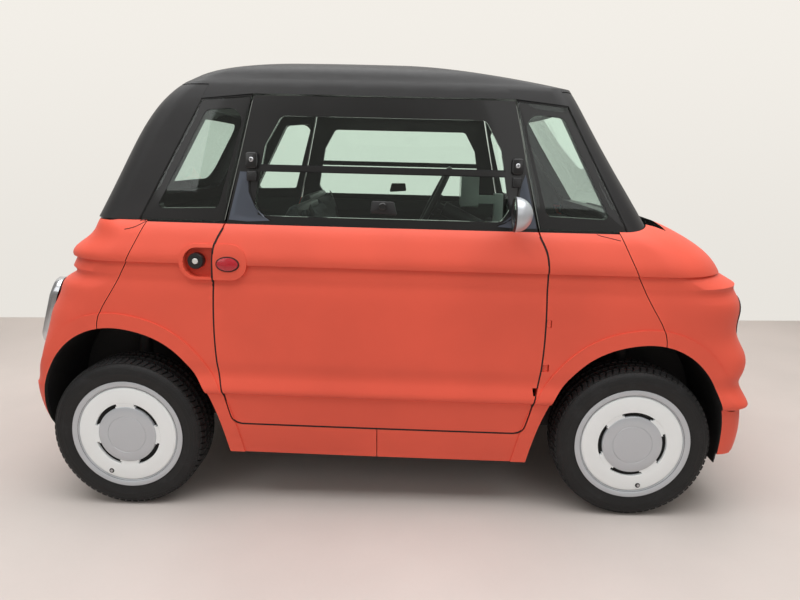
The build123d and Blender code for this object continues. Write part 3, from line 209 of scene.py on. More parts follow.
def moulded_paint(name, colour):
    """Plastic panels coloured through, satin, with a fine spark-eroded grain."""
    b = Book(name)
    cloud = b.noise(2.2, 4.0)
    grain = b.noise(1400.0, 2.0, 0.6)
    dust = b.noise(46.0, 6.0, 0.65)
    shade = b.mix(cloud.clip(0.3, 0.75), scaled(colour, 0.93), scaled(colour, 1.05))
    worn = b.mix(edge_wear(b, 0.53, 0.62) * 0.25, shade, scaled(colour, 1.25))
    return b.finish(Base_Color=worn, Roughness=0.46 + dust * 0.12 + grain * 0.04, IOR=1.44,
                    Normal=b.bump(grain, 0.14, 0.0004))


def grained_black(name, colour, roughness=0.5, scale=900.0, depth=0.3):
    """Black moulded plastic with a leather-like grain."""
    b = Book(name)
    cells = b.node("ShaderNodeTexVoronoi", {"feature": "DISTANCE_TO_EDGE"}, Vector=b.place(), Scale=scale)
    cloud = b.noise(5.0, 4.0)
    dust = b.noise(60.0, 5.0, 0.7)
    shade = b.mix(cloud, scaled(colour, 0.85), scaled(colour, 1.2))
    greyed = b.mix(edge_wear(b) * 0.3 + dust.clip(0.62, 0.8) * 0.12, shade, scaled(colour, 2.2))
    return b.finish(Base_Color=greyed, Roughness=roughness - 0.06 + dust * 0.16,
                    Normal=b.bump(cells, depth, 0.0005))


def gloss_black(name, colour, roughness=0.12):
    """Back-printed glass border and polished black mouldings."""
    b = Book(name)
    smear = b.noise(7.0, 5.0, 0.6)
    shade = b.mix(smear, scaled(colour, 0.55), scaled(colour, 0.8))
    return b.finish(Base_Color=shade, Roughness=roughness + smear * 0.1, Coat_Weight=0.4,
                    Coat_Roughness=0.06)


def clear_glass(name, colour, roughness=0.0):
    b = Book(name)
    smear = b.noise(9.0, 6.0, 0.7)
    return b.finish(Base_Color=b.mix(smear, scaled(colour, 0.97), colour),
                    Roughness=smear.clip(0.62, 0.85) * 0.04 + roughness, Transmission_Weight=1.0, IOR=1.45)


def satin_metal(name, colour, roughness=0.32, brushed=False):
    b = Book(name)
    where = b.place()
    if brushed:
        where = b.node("ShaderNodeMapping", None, Vector=where, Scale=(900.0, 30.0, 900.0))
    lines = b.noise(1.0 if brushed else 300.0, 4.0, 0.6, where)
    cloud = b.noise(14.0, 4.0)
    shade = b.mix(cloud, scaled(colour, 0.9), colour)
    return b.finish(Base_Color=shade, Metallic=1.0, Roughness=roughness + lines * 0.12,
                    Normal=b.bump(lines, 0.05, 0.0003))


def painted_gloss(name, colour, roughness=0.22, fleck=0.0):
    """Sprayed and lacquered, with a faint orange peel."""
    b = Book(name)
    peel = b.noise(160.0, 2.0)
    film = b.noise(12.0, 5.0)
    spark = b.noise(2600.0, 1.0)
    shade = b.mix(film * 0.6 + spark * fleck, scaled(colour, 0.93), colour)
    return b.finish(Base_Color=shade, Roughness=roughness + film * 0.08, Metallic=fleck * 0.5,
                    Coat_Weight=0.5, Coat_Roughness=0.08, Normal=b.bump(peel, 0.06, 0.0006))


def tyre_rubber(name):
    b = Book(name)
    bloom = b.noise(18.0, 6.0, 0.7)
    grain = b.noise(700.0, 3.0)
    shade = b.mix(bloom.clip(0.45, 0.75), srgb(16, 16, 17), srgb(34, 34, 36))
    return b.finish(Base_Color=shade, Roughness=0.55 + bloom * 0.2, Normal=b.bump(grain, 0.25, 0.0005))


def coated_steel(name, colour):
    b = Book(name)
    peel = b.noise(220.0, 3.0)
    grime = b.noise(11.0, 7.0, 0.7)
    shade = b.mix(grime.clip(0.5, 0.78), colour, srgb(92, 84, 76))
    return b.finish(Base_Color=shade, Roughness=0.42 + grime * 0.25, Metallic=0.2,
                    Normal=b.bump(peel, 0.2, 0.0006))


def woven_cloth(name, colour):
    """Plain weave read from object coordinates, two threads crossing."""
    b = Book(name)
    x, y, z = b.split(b.place())
    up = z + x * 0.35
    warp = (y * 3200.0).wave()
    weft = (up * 3200.0).wave()
    over = (warp * weft).clip(-0.6, 0.6)
    fuzz = b.noise(500.0, 3.0, 0.7)
    wear = b.noise(9.0, 4.0)
    shade = b.mix(over, scaled(colour, 0.72), scaled(colour, 1.2))
    faded = b.mix(wear.clip(0.5, 0.8) * 0.35, shade, scaled(colour, 1.7))
    return b.finish(Base_Color=faded, Roughness=0.86 + fuzz * 0.1, Sheen_Weight=0.25, Sheen_Roughness=0.4,
                    Normal=b.bump(over + fuzz * 0.6, 0.35, 0.0008))


def ribbed_lens(name, colour, scale=420.0, strength=0.5):
    """Moulded lamp lens or reflector with fine prisms behind a gloss face."""
    b = Book(name)
    x, y, z = b.split(b.place())
    prisms = (z * scale * 2.0).wave() * ((x + y) * scale * 2.0).wave()
    shade = b.mix(prisms.clip(-0.8, 0.8), scaled(colour, 0.62), scaled(colour, 1.15))
    return b.finish(Base_Color=shade, Roughness=0.16 + abs(prisms) * 0.06, Coat_Weight=1.0,
                    Coat_Roughness=0.03, Normal=b.bump(prisms, strength, 0.0006))


def studio_floor(name, colour):
    b = Book(name)
    broad = b.noise(0.9, 6.0, 0.55)
    speck = b.noise(90.0, 3.0)
    shade = b.mix(broad.clip(0.3, 0.72) * 0.8 + speck * 0.2, scaled(colour, 0.93), scaled(colour, 1.05))
    shader = b.node("ShaderNodeBsdfPrincipled", None, Base_Color=shade, Roughness=0.42 + broad * 0.2,
                    Specular_IOR_Level=0.25)
    b.node("ShaderNodeOutputMaterial", None, shader)
    return b.material


def studio_wall(name, colour):
    """Plain backdrop: its own colour to the eye, in glass and in gloss, unlit; its glow is painted darker
    towards the floor as painted shade.
    """
    b = Book(name)
    path = b.node("ShaderNodeLightPath", None)
    outs = path.socket.node.outputs
    camera, gloss, through = [Wire(b, outs["Is %s Ray" % kind])
                              for kind in ("Camera", "Glossy", "Transmission")]
    seen = camera + gloss + through
    height = b.split(b.place())[2]
    # painted shade: the glow darkens from 2.5 m down to the floor
    glow_with_painted_shade = b.node("ShaderNodeEmission", None,
                  Color=b.mix((height * 0.4).clip(0.0, 1.0), scaled(colour, 0.9), colour), Strength=1.0)
    plain = b.node("ShaderNodeBsdfDiffuse", None, Color=colour)
    both = b.node("ShaderNodeMixShader", None, seen > 0.5, plain, glow_with_painted_shade)
    behind = b.node("ShaderNodeNewGeometry", None, out="Backfacing")
    open_back = b.node("ShaderNodeMixShader", None, behind, both, b.node("ShaderNodeBsdfTransparent", None))
    b.node("ShaderNodeOutputMaterial", None, open_back)
    return b.material


FINISH = {}


def make_finishes(colours):
    black = tuple(colours.black)
    FINISH.update({
        "paint": moulded_paint("body_orange", tuple(colours.paint)),
        "roof": grained_black("roof_satin_black", scaled(black, 1.1), 0.5, 1500.0, 0.08),
        "pillar": grained_black("pillar_slate", srgb(66, 72, 82), 0.4, 1600.0, 0.06),
        "trim": grained_black("trim_black", black, 0.5),
        "fine": grained_black("fine_black", black, 0.38, 2200.0, 0.12),
        "gloss": gloss_black("gloss_black", scaled(black, 0.7), 0.3),
        "rubber": grained_black("seal_rubber", srgb(20, 20, 21), 0.7, 2600.0, 0.1),
        "glass": clear_glass("tinted_glass", tuple(colours.glass)),
        "dark_glass": clear_glass("roof_dark_glass", srgb(70, 78, 76)),
        "cover": painted_gloss("cover_white", tuple(colours.cover), 0.2),
        "ring": painted_gloss("cover_silver", tuple(colours.silver), 0.26, 0.5),
        "silver": painted_gloss("mirror_silver", tuple(colours.silver), 0.3, 0.7),
        "chrome": satin_metal("lamp_rim_metal", srgb(214, 216, 220), 0.14),
        "steel": satin_metal("bright_steel", srgb(196, 197, 200), 0.24, True),
        "coated": coated_steel("coated_steel", srgb(34, 34, 36)),
        "alloy": satin_metal("cast_alloy", srgb(150, 152, 155), 0.45),
        "tyre": tyre_rubber("tyre_rubber"),
        "cloth": woven_cloth("seat_cloth", tuple(colours.cloth)),
        "shell": grained_black("seat_shell_grey", srgb(48, 50, 52), 0.46, 1200.0, 0.2),
        "red": ribbed_lens("lamp_red", srgb(196, 18, 40)),
        "amber": ribbed_lens("lamp_amber", srgb(224, 120, 20)),
        "lens": clear_glass("lamp_clear", srgb(235, 238, 240)),
        "plate": painted_gloss("blank_plate", srgb(226, 226, 222), 0.3),
        "screen": painted_gloss("display_face", srgb(196, 214, 204), 0.28),
        "lining": grained_black("cabin_lining", srgb(38, 42, 40), 0.6, 1300.0, 0.15),
        "pale": grained_black("pale_moulding", srgb(176, 186, 178), 0.5, 1500.0, 0.08),
        # seal_grey_painted_highlight: the thin grey line along each door edge of the quarter glasses, a painted
        # highlight
        "seal": grained_black("seal_grey_painted_highlight", srgb(104, 108, 104), 0.55, 2400.0, 0.1),
        "mirror": satin_metal("mirror_pane", srgb(236, 240, 242), 0.01),
        "dark": grained_black("deep_shadow", srgb(10, 10, 10), 0.8, 700.0, 0.1),
    })


# ------------------------------------------------------------------ meshes
def at(x, y, z):
    """A point of the level body, in metres, as it sits on its wheels."""
    return LEVEL @ Vector((x, y, z))


def new_mesh(name, points, faces):
    mesh = bpy.data.meshes.new(name)
    mesh.from_pydata([tuple(p) for p in points], [], faces)
    mesh.update()
    thing = bpy.data.objects.new(name, mesh)
    bpy.context.scene.collection.objects.link(thing)
    return thing


def tidied(thing, angle=35, merge=0.00002, outward=True):
    """Doubles merged, faces outwards, smooth up to an angle."""
    work = bmesh.new()
    work.from_mesh(thing.data)
    bmesh.ops.remove_doubles(work, verts=work.verts, dist=merge)
    bmesh.ops.dissolve_degenerate(work, edges=work.edges, dist=merge / 4)
    if outward:
        bmesh.ops.recalc_face_normals(work, faces=work.faces)
    work.to_mesh(thing.data)
    work.free()
    thing.data.shade_smooth()
    thing.data.set_sharp_from_angle(angle=math.radians(angle))
    return thing


def settle(thing):
    """The modifiers' result, as a plain mesh on the same object."""
    bpy.context.view_layer.update()
    graph = bpy.context.evaluated_depsgraph_get()
    result = bpy.data.meshes.new_from_object(thing.evaluated_get(graph), preserve_all_data_layers=False,
                                             depsgraph=graph)
    thing.modifiers.clear()
    thing.data = result
    return thing


def rounded(thing, width, segments=2, angle=35):
    edge = thing.modifiers.new("edge", "BEVEL")
    edge.width, edge.segments = width, segments
    edge.limit_method, edge.angle_limit = "ANGLE", math.radians(angle)
    edge.harden_normals = False
    settle(thing)
    thing.data.shade_smooth()
    thing.data.set_sharp_from_angle(angle=math.radians(angle))
    return thing


def dressed(thing, finish, body, slot=None, stands_for=()):
    """Gives a piece its finish and the body it moves with."""
    thing.data.materials.clear()
    for name in finish if isinstance(finish, (list, tuple)) else [finish]:
        thing.data.materials.append(FINISH[name])
    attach(thing, body)
    if stands_for:
        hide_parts(*([stands_for] if isinstance(stands_for, str) else stands_for))
    return thing


def coated(thing, finish):
    thing.data.materials.append(FINISH[finish])
    return thing


def joined(name, things):
    """Several meshes as one; their materials are kept in order."""
    work = bmesh.new()
    slots = []
    for thing in things:
        start = len(work.faces)
        work.from_mesh(thing.data)
        work.faces.ensure_lookup_table()
        for face in work.faces[start:]:
            material = thing.data.materials[face.material_index] if thing.data.materials else None
            if material not in slots:
                slots.append(material)
            face.material_index = slots.index(material)
        bpy.data.objects.remove(thing)
    mesh = bpy.data.meshes.new(name)
    work.to_mesh(mesh)
    work.free()
    for material in slots:
        mesh.materials.append(material)
    whole = bpy.data.objects.new(name, mesh)
    bpy.context.scene.collection.objects.link(whole)
    return whole


def fitted(name, things, body):
    """Several pieces joined, on their body, each keeping its colour."""
    whole = joined(name, things)
    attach(whole, body)
    return whole


def turned(name, profile, centre, axis, steps=96, closed=True):
    """A profile of (radius, height) pairs turned about an axis through centre."""
    axis = Vector(axis).normalized()
    side = axis.orthogonal().normalized()
    other = axis.cross(side)
    points, faces, count = [], [], len(profile)
    for i in range(steps):
        a = 2 * math.pi * i / steps
        out = side * math.cos(a) + other * math.sin(a)
        points += [centre + out * r + axis * h for r, h in profile]
    for i in range(steps):
        for j in range(count if closed else count - 1):
            a, b = i * count + j, i * count + (j + 1) % count
            c, d = (i + 1) % steps * count + (j + 1) % count, (i + 1) % steps * count + j
            faces.append((a, d, c, b))
    return tidied(new_mesh(name, points, faces), 30)


def slab(name, outline, place, low, high):
    """A flat outline of (u, v) pairs given thickness along w: place(u, v, w) is a point."""
    count = len(outline)
    points = [place(u, v, low) for u, v in outline] + [place(u, v, high) for u, v in outline]
    faces = [tuple(range(count)), tuple(range(2 * count - 1, count - 1, -1))]
    faces += [(i, (i + 1) % count, count + (i + 1) % count, count + i) for i in range(count)]
    return tidied(new_mesh(name, points, faces))


def round_corners(corners, radius, steps=6):
    """A polygon with its corners rounded; radius is one number or one for each corner."""
    result, count = [], len(corners)
    for i, corner in enumerate(corners):
        r = radius[i] if hasattr(radius, "__len__") else radius
        here = Vector(corner)
        back, ahead = Vector(corners[i - 1]) - here, Vector(corners[(i + 1) % count]) - here
        half = back.angle(ahead) / 2
        reach = min(r / max(math.tan(half), 0.01), back.length * 0.49, ahead.length * 0.49)
        p0, p2 = here + back.normalized() * reach, here + ahead.normalized() * reach
        for k in range(steps + 1):
            t = k / steps
            # a conic through both tangent points, near enough to the arc
            w = math.sin(half)
            a, b, c = (1 - t) ** 2, 2 * t * (1 - t) * w, t ** 2
            result.append(tuple((p0 * a + here * b + p2 * c) / (a + b + c)))
    return result


def pill_outline(long, wide, steps=10):
    """A slot's outline about its middle, long along u."""
    r, straight = wide / 2, (long - wide) / 2
    ends = []
    for way in (1, -1):
        for k in range(steps + 1):
            a = (-0.5 + k / steps) * math.pi
            ends.append((way * (straight + r * math.cos(a)), way * r * math.sin(a)))
    return ends


def copied(node, name=None):
    """A CAD node's shape as a merged, smooth mesh of its own."""
    source = frame["nodes"][node]
    thing = bpy.data.objects.new(name or node + "_skin", source.data.copy())
    bpy.context.scene.collection.objects.link(thing)
    if thing.data.has_custom_normals:
        with bpy.context.temp_override(object=thing, active_object=thing, selected_objects=[thing]):
            bpy.ops.mesh.customdata_custom_splitnormals_clear()
    return tidied(thing, 28, 0.00005, False)


def surface(*nodes):
    """A ray-cast tree of CAD nodes, to lay trim on."""
    points, faces = [], []
    for node in nodes:
        mesh = frame["nodes"][node].data
        start = len(points)
        points += [v.co.copy() for v in mesh.vertices]
        faces += [tuple(start + i for i in p.vertices) for p in mesh.polygons]
    return BVHTree.FromPolygons(points, faces)


def on_side(tree, x, z, way, lift=0.0):
    """The outer skin of one side at (x, z) of the level body, lifted outwards; with its normal."""
    aim = LEVEL.to_3x3() @ Vector((0, -way, 0))
    # a point over a shut line is read beside it
    for aside in (0, 0.004, -0.004, 0.008, -0.008, 0.012, -0.012):
        for dx, dz in ((0, aside), (aside, 0)):
            hit, normal, _, _ = tree.ray_cast(at(x + dx, way * 1.2, z + dz), aim)
            if hit is not None and abs((LEVEL.inverted() @ hit).y) > 0.3:
                break
        else:
            continue
        hit = at(x, (LEVEL.inverted() @ hit).y, z)
        break
    else:
        raise ValueError("no skin at %.3f, %.3f" % (x, z))
    if normal.dot(aim) > 0:
        normal = -normal
    return hit + normal * lift, normal


def laid(name, outline, tree, way, low, high, inner=None, rows=1):
    """A plate that follows the side skin: an outline in level (x, z), with an optional hole."""
    ring = inner or [tuple(sum(p[k] for p in outline) / len(outline) for k in (0, 1))] * len(outline)
    count, points, faces = len(outline), [], []
    for lift in (low, high):
        for r in range(rows + 1):
            t = r / rows
            for (x0, z0), (x1, z1) in zip(outline, ring):
                hit, normal = on_side(tree, x0 + (x1 - x0) * t, z0 + (z1 - z0) * t, way)
                points.append(hit + normal * lift)
    for layer in (0, 1):
        base = layer * (rows + 1) * count
        for r in range(rows):
            for i in range(count):
                a, b = base + r * count + i, base + r * count + (i + 1) % count
                faces.append((a, b, b + count, a + count) if layer else (a, a + count, b + count, b))
    top = (rows + 1) * count
    for i in range(count):
        j = (i + 1) % count
        faces.append((i, j, top + j, top + i))
        if inner:
            k = rows * count
            faces.append((k + j, k + i, top + k + i, top + k + j))
    return tidied(new_mesh(name, points, faces), 40)


def brick(name, low, high, radius=0.004, segments=3):
    """A block between two corners of the level body, its edges rounded."""
    corners = [(x, y, z) for x in (low[0], high[0]) for y in (low[1], high[1]) for z in (low[2], high[2])]
    faces = [(0, 1, 3, 2), (4, 6, 7, 5), (0, 4, 5, 1), (2, 3, 7, 6), (0, 2, 6, 4), (1, 5, 7, 3)]
    return rounded(tidied(new_mesh(name, [at(*p) for p in corners], faces)), radius, segments)


def ribbon(name, path, outs, width, thick, closed=False):
    """A flat strip along a path; outs are the directions that its face looks in."""
    points, faces, n = [], [], len(path)
    for i, (here, out) in enumerate(zip(path, outs)):
        after, before = ((i + 1) % n, (i - 1) % n) if closed else (min(i + 1, n - 1), max(i - 1, 0))
        ahead = path[after] - path[before]
        side, rise = ahead.cross(out).normalized() * width / 2, Vector(out).normalized() * thick
        points += [here - side, here + side, here + side + rise, here - side + rise]
    for i in range(n if closed else n - 1):
        a, b = i * 4, (i + 1) % n * 4
        faces += [(a + k, a + (k + 1) % 4, b + (k + 1) % 4, b + k) for k in range(4)]
    if not closed:
        faces += [(3, 2, 1, 0), (n * 4 - 4, n * 4 - 3, n * 4 - 2, n * 4 - 1)]
    return tidied(new_mesh(name, points, faces), 50)


def eased(corners, steps=8):
    """A smooth curve through a few points, as many points."""
    pts = [Vector(c) for c in corners]
    pts = [pts[0] * 2 - pts[1]] + pts + [pts[-1] * 2 - pts[-2]]
    result = []
    for a, b, c, d in zip(pts, pts[1:], pts[2:], pts[3:]):
        for k in range(steps):
            t = k / steps
            square, cube = 2 * a - 5 * b + 4 * c - d, 3 * b - a - 3 * c + d
            result.append(0.5 * (2 * b + (c - a) * t + square * t * t + cube * t ** 3))
    return result + [pts[-2]]


def line_on(name, corners, tree, way, width, lift=0.0004, steps=8, finish="dark", mirrored=True):
    """A thin line along a side's skin through (x, z) points of the level body."""
    pairs = [on_side(tree, flip(p[0], way) if mirrored else p[0], p[1], way) for p in eased(corners, steps)]
    strip = ribbon(name, [p - n * 0.0004 for p, n in pairs], [n for p, n in pairs], width, lift + 0.0004)
    return coated(strip, finish)


def flip(x, way):
    """The doors are one part turned half round: a place on the right-hand one, as it lies on either side."""
    return x if way < 0 else -x


def pressed(name, outline, tree, way, height, width, finish, back=0.002):
    """A moulded block on a side's skin: outline in (x, z), its face drawn in by width."""
    middle = Vector([sum(p[k] for p in outline) / len(outline) for k in (0, 1)])
    points, faces, count = [], [], len(outline)
    levels = [(-back, 0.0), (height - width, 0.0), (height - width * 0.3, width * 0.3), (height, width)]
    for rise, inset in levels:
        for p in outline:
            spot = Vector(p)
            spot += (middle - spot).normalized() * inset
            hit, normal = on_side(tree, flip(spot.x, way), spot.y, way)
            points.append(hit + normal * rise)
    for r in range(len(levels) - 1):
        for i in range(count):
            a, b = r * count + i, r * count + (i + 1) % count
            faces.append((a, b, b + count, a + count))
    faces += [tuple(range(count)), tuple(reversed(range(count * (len(levels) - 1), count * len(levels))))]
    return coated(tidied(new_mesh(name, points, faces), 40), finish)


def stuffed(thing, pressure=4.0, cap=0.012, voxel=0.006):
    """Swells a closed cover as foam fills it; no point moves further than cap. The result is a plain mesh."""
    remesh = thing.modifiers.new("even", "REMESH")
    remesh.mode, remesh.voxel_size = "VOXEL", voxel
    settle(thing)
    rest = [v.co.copy() for v in thing.data.vertices]
    scene = bpy.context.scene
    cloth = thing.modifiers.new("cover", "CLOTH")
    cloth.settings.quality = 4
    cloth.settings.use_pressure, cloth.settings.uniform_pressure_force = True, pressure
    cloth.settings.effector_weights.gravity = 0
    cloth.settings.tension_stiffness = cloth.settings.compression_stiffness = 22
    cloth.settings.bending_stiffness = 1.5
    cloth.point_cache.frame_start, cloth.point_cache.frame_end = 1, 20
    for step in range(1, 21):
        scene.frame_set(step)
    settle(thing)
    scene.frame_set(1)
    for vertex, start in zip(thing.data.vertices, rest):
        way = vertex.co - start
        if way.length > cap:
            vertex.co = start + way * (cap / way.length)
    thing.data.shade_smooth()
    return thing


# ------------------------------------------------------------------ repeats by Geometry Nodes
def repeat_tree(name, copy, finish):
    """Copies of one mesh on a circle: count, radius and axis offset are inputs."""
    tree = bpy.data.node_groups.new(name, "GeometryNodeTree")
    tree.interface.new_socket("Geometry", in_out="INPUT", socket_type="NodeSocketGeometry")
    for label, kind, value in (("Count", "NodeSocketInt", 12), ("Radius", "NodeSocketFloat", 0.1),
                               ("Turn", "NodeSocketFloat", 0.0)):
        tree.interface.new_socket(label, in_out="INPUT", socket_type=kind).default_value = value
    tree.interface.new_socket("Geometry", in_out="OUTPUT", socket_type="NodeSocketGeometry")
    add, link = tree.nodes.new, tree.links.new
    given, out = add("NodeGroupInput"), add("NodeGroupOutput")
    line = add("GeometryNodeMeshLine")
    index, degrees = add("GeometryNodeInputIndex"), add("ShaderNodeMath")
    degrees.operation = "MULTIPLY"
    step = add("ShaderNodeMath")
    step.operation, step.inputs[0].default_value = "DIVIDE", 2 * math.pi
    link(given.outputs["Count"], step.inputs[1])
    link(index.outputs[0], degrees.inputs[0])
    link(step.outputs[0], degrees.inputs[1])
    turn = add("ShaderNodeMath")
    link(degrees.outputs[0], turn.inputs[0])
    link(given.outputs["Turn"], turn.inputs[1])
    spin, arm = add("ShaderNodeCombineXYZ"), add("ShaderNodeCombineXYZ")
    link(turn.outputs[0], spin.inputs[1])
    link(given.outputs["Radius"], arm.inputs[0])
    swing = add("ShaderNodeVectorRotate")
    swing.rotation_type = "EULER_XYZ"
    link(arm.outputs[0], swing.inputs["Vector"])
    link(spin.outputs[0], swing.inputs["Rotation"])
    link(given.outputs["Count"], line.inputs["Count"])
    place = add("GeometryNodeSetPosition")
    link(line.outputs[0], place.inputs["Geometry"])
    link(swing.outputs[0], place.inputs["Position"])
    source = add("GeometryNodeObjectInfo")
    source.inputs["Object"].default_value = copy
    copies, real = add("GeometryNodeInstanceOnPoints"), add("GeometryNodeRealizeInstances")
    paint = add("GeometryNodeSetMaterial")
    paint.inputs["Material"].default_value = FINISH[finish]
    link(place.outputs[0], copies.inputs["Points"])
    link(source.outputs["Geometry"], copies.inputs["Instance"])
    link(spin.outputs[0], copies.inputs["Rotation"])
    link(copies.outputs[0], real.inputs[0])
    link(real.outputs[0], paint.inputs[0])
    link(paint.outputs[0], out.inputs[0])
    return tree


def ringed(name, copy, count, radius, finish, turn=0.0):
    """copy, its outer side along +X and its width along Y, set count times round the Y axis."""
    carrier = new_mesh(name, [(0, 0, 0)], [])
    tree = repeat_tree(name + "_layout", copy, finish)
    layer = carrier.modifiers.new("layout", "NODES")
    layer.node_group = tree
    for item in tree.interface.items_tree:
        if item.in_out == "INPUT" and item.name in ("Count", "Radius", "Turn"):
            layer[item.identifier] = {"Count": count, "Radius": radius, "Turn": turn}[item.name]
    settle(carrier)
    bpy.data.objects.remove(copy)
    return carrier


def moved(thing, matrix):
    thing.data.transform(matrix)
    if matrix.determinant() < 0:
        thing.data.flip_normals()
    return thing


# ------------------------------------------------------------------ wheels
# drawn about the origin, with the outer side along +Y
def tread_pitch(radius):
    """One pitch of the tread along +X: shoulder lugs, two rows of blocks and a centre rib."""
    low, top = radius - 0.0085, radius
    rows = (
        (0.0455, 0.066, 0.0092, 0.0035), (0.0245, 0.0425, 0.0088, -0.0045), (-0.0098, 0.0098, 0.0104, 0.0),
        (-0.0425, -0.0245, 0.0088, 0.0045), (-0.066, -0.0455, 0.0092, -0.0035),
    )
    points, faces = [], []
    for inner, outer, half_long, skew in rows:
        start = len(points)
        for height, shrink in ((low, 0.0), (top - 0.0012, 0.0004), (top, 0.0014)):
            for y, way in ((inner, -1), (outer, 1)):
                fall = max(0.0, abs(y) - 0.044) * 0.28
                for z in (-half_long + shrink, half_long - shrink):
                    inset = shrink if abs(y) < 0.06 else 0.0
                    points.append((height - fall, y - way * inset, z + skew * way))
        for level in (0, 4):
            for a, b in ((0, 1), (1, 3), (3, 2), (2, 0)):
                faces.append((start + level + a, start + level + b, start + level + 4 + b,
                              start + level + 4 + a))
        faces.append((start + 8, start + 9, start + 11, start + 10))
    return tidied(new_mesh("pitch", points, faces), 30)


def make_tyre(sizes):
    radius, half = sizes.tyre_radius, sizes.tyre_width / 2
    base = radius - 0.0082
    wall = [(0.1806, 0.048), (0.1806, half - 0.0135), (0.186, half - 0.0085), (0.1905, half - 0.0048),
            (0.1935, half - 0.0048), (0.195, half - 0.0062), (0.199, half - 0.0048), (0.2045, half - 0.003),
            (0.2125, half - 0.0012), (0.2195, half - 0.0004), (0.2202, half), (0.2216, half),
            (0.2224, half - 0.0004), (0.2312, half - 0.0002), (0.2318, half - 0.0009),
            (0.2334, half - 0.0009), (0.234, half - 0.0003), (0.2398, half - 0.0016),
            (0.2405, half - 0.0024), (0.2422, half - 0.0028), (0.2427, half - 0.0022),
            (0.2476, half - 0.0052), (0.252, half - 0.0092), (0.2545, half - 0.0135),
            (base - 0.0005, 0.0555), (base, 0.045), (base, 0.0441), (base - 0.0002, 0.0435), (base, 0.023),
            (base - 0.0002, 0.0105)]
    profile = wall + [(r, -t) for r, t in reversed(wall)]
    profile += [(0.1986, -0.052), (0.2206, -0.0636), (0.2426, -0.0596), (0.248, 0.0), (0.2426, 0.0596),
                (0.2206, 0.0636), (0.1986, 0.052)]
    carcass = coated(turned("carcass", profile, Vector(), (0, 1, 0), 144), "tyre")
    tread = ringed("tread", tread_pitch(radius), sizes.tread_pitch, 0.0, "tyre")
    # fine vents on the shoulder, one between each pair of lugs
    rib = tidied(new_mesh("rib",
                          [(0.2445, half - 0.0042, -0.0006), (0.2445, half - 0.0042, 0.0006),
                           (0.2535, half - 0.011, 0.0006), (0.2535, half - 0.011, -0.0006),
                           (0.2452, half - 0.0024, 0.0), (0.2538, half - 0.0098, 0.0)],
                          [(0, 3, 5, 4), (1, 4, 5, 2), (0, 4, 1), (3, 2, 5)]), 30)
    ribs = ringed("ribs", rib, sizes.tread_pitch * 2, 0.0, "tyre", math.pi / sizes.tread_pitch)
    return joined("tyre_master", [carcass, tread, ribs])


def arc_piece(name, profile, start, end, steps, finish):
    """Part of a turned shape between two angles about Y, from +Z towards +X, closed at its ends."""
    points, faces, count = [], [], len(profile)
    for i in range(steps + 1):
        a = start + (end - start) * i / steps
        points += [(r * math.sin(a), t, r * math.cos(a)) for r, t in profile]
    for i in range(steps):
        for j in range(count):
            a, b = i * count + j, i * count + (j + 1) % count
            faces.append((a, b, b + count, a + count))
    faces += [tuple(range(count)), tuple(reversed(range(steps * count, (steps + 1) * count)))]
    return coated(tidied(new_mesh(name, points, faces), 30), finish)


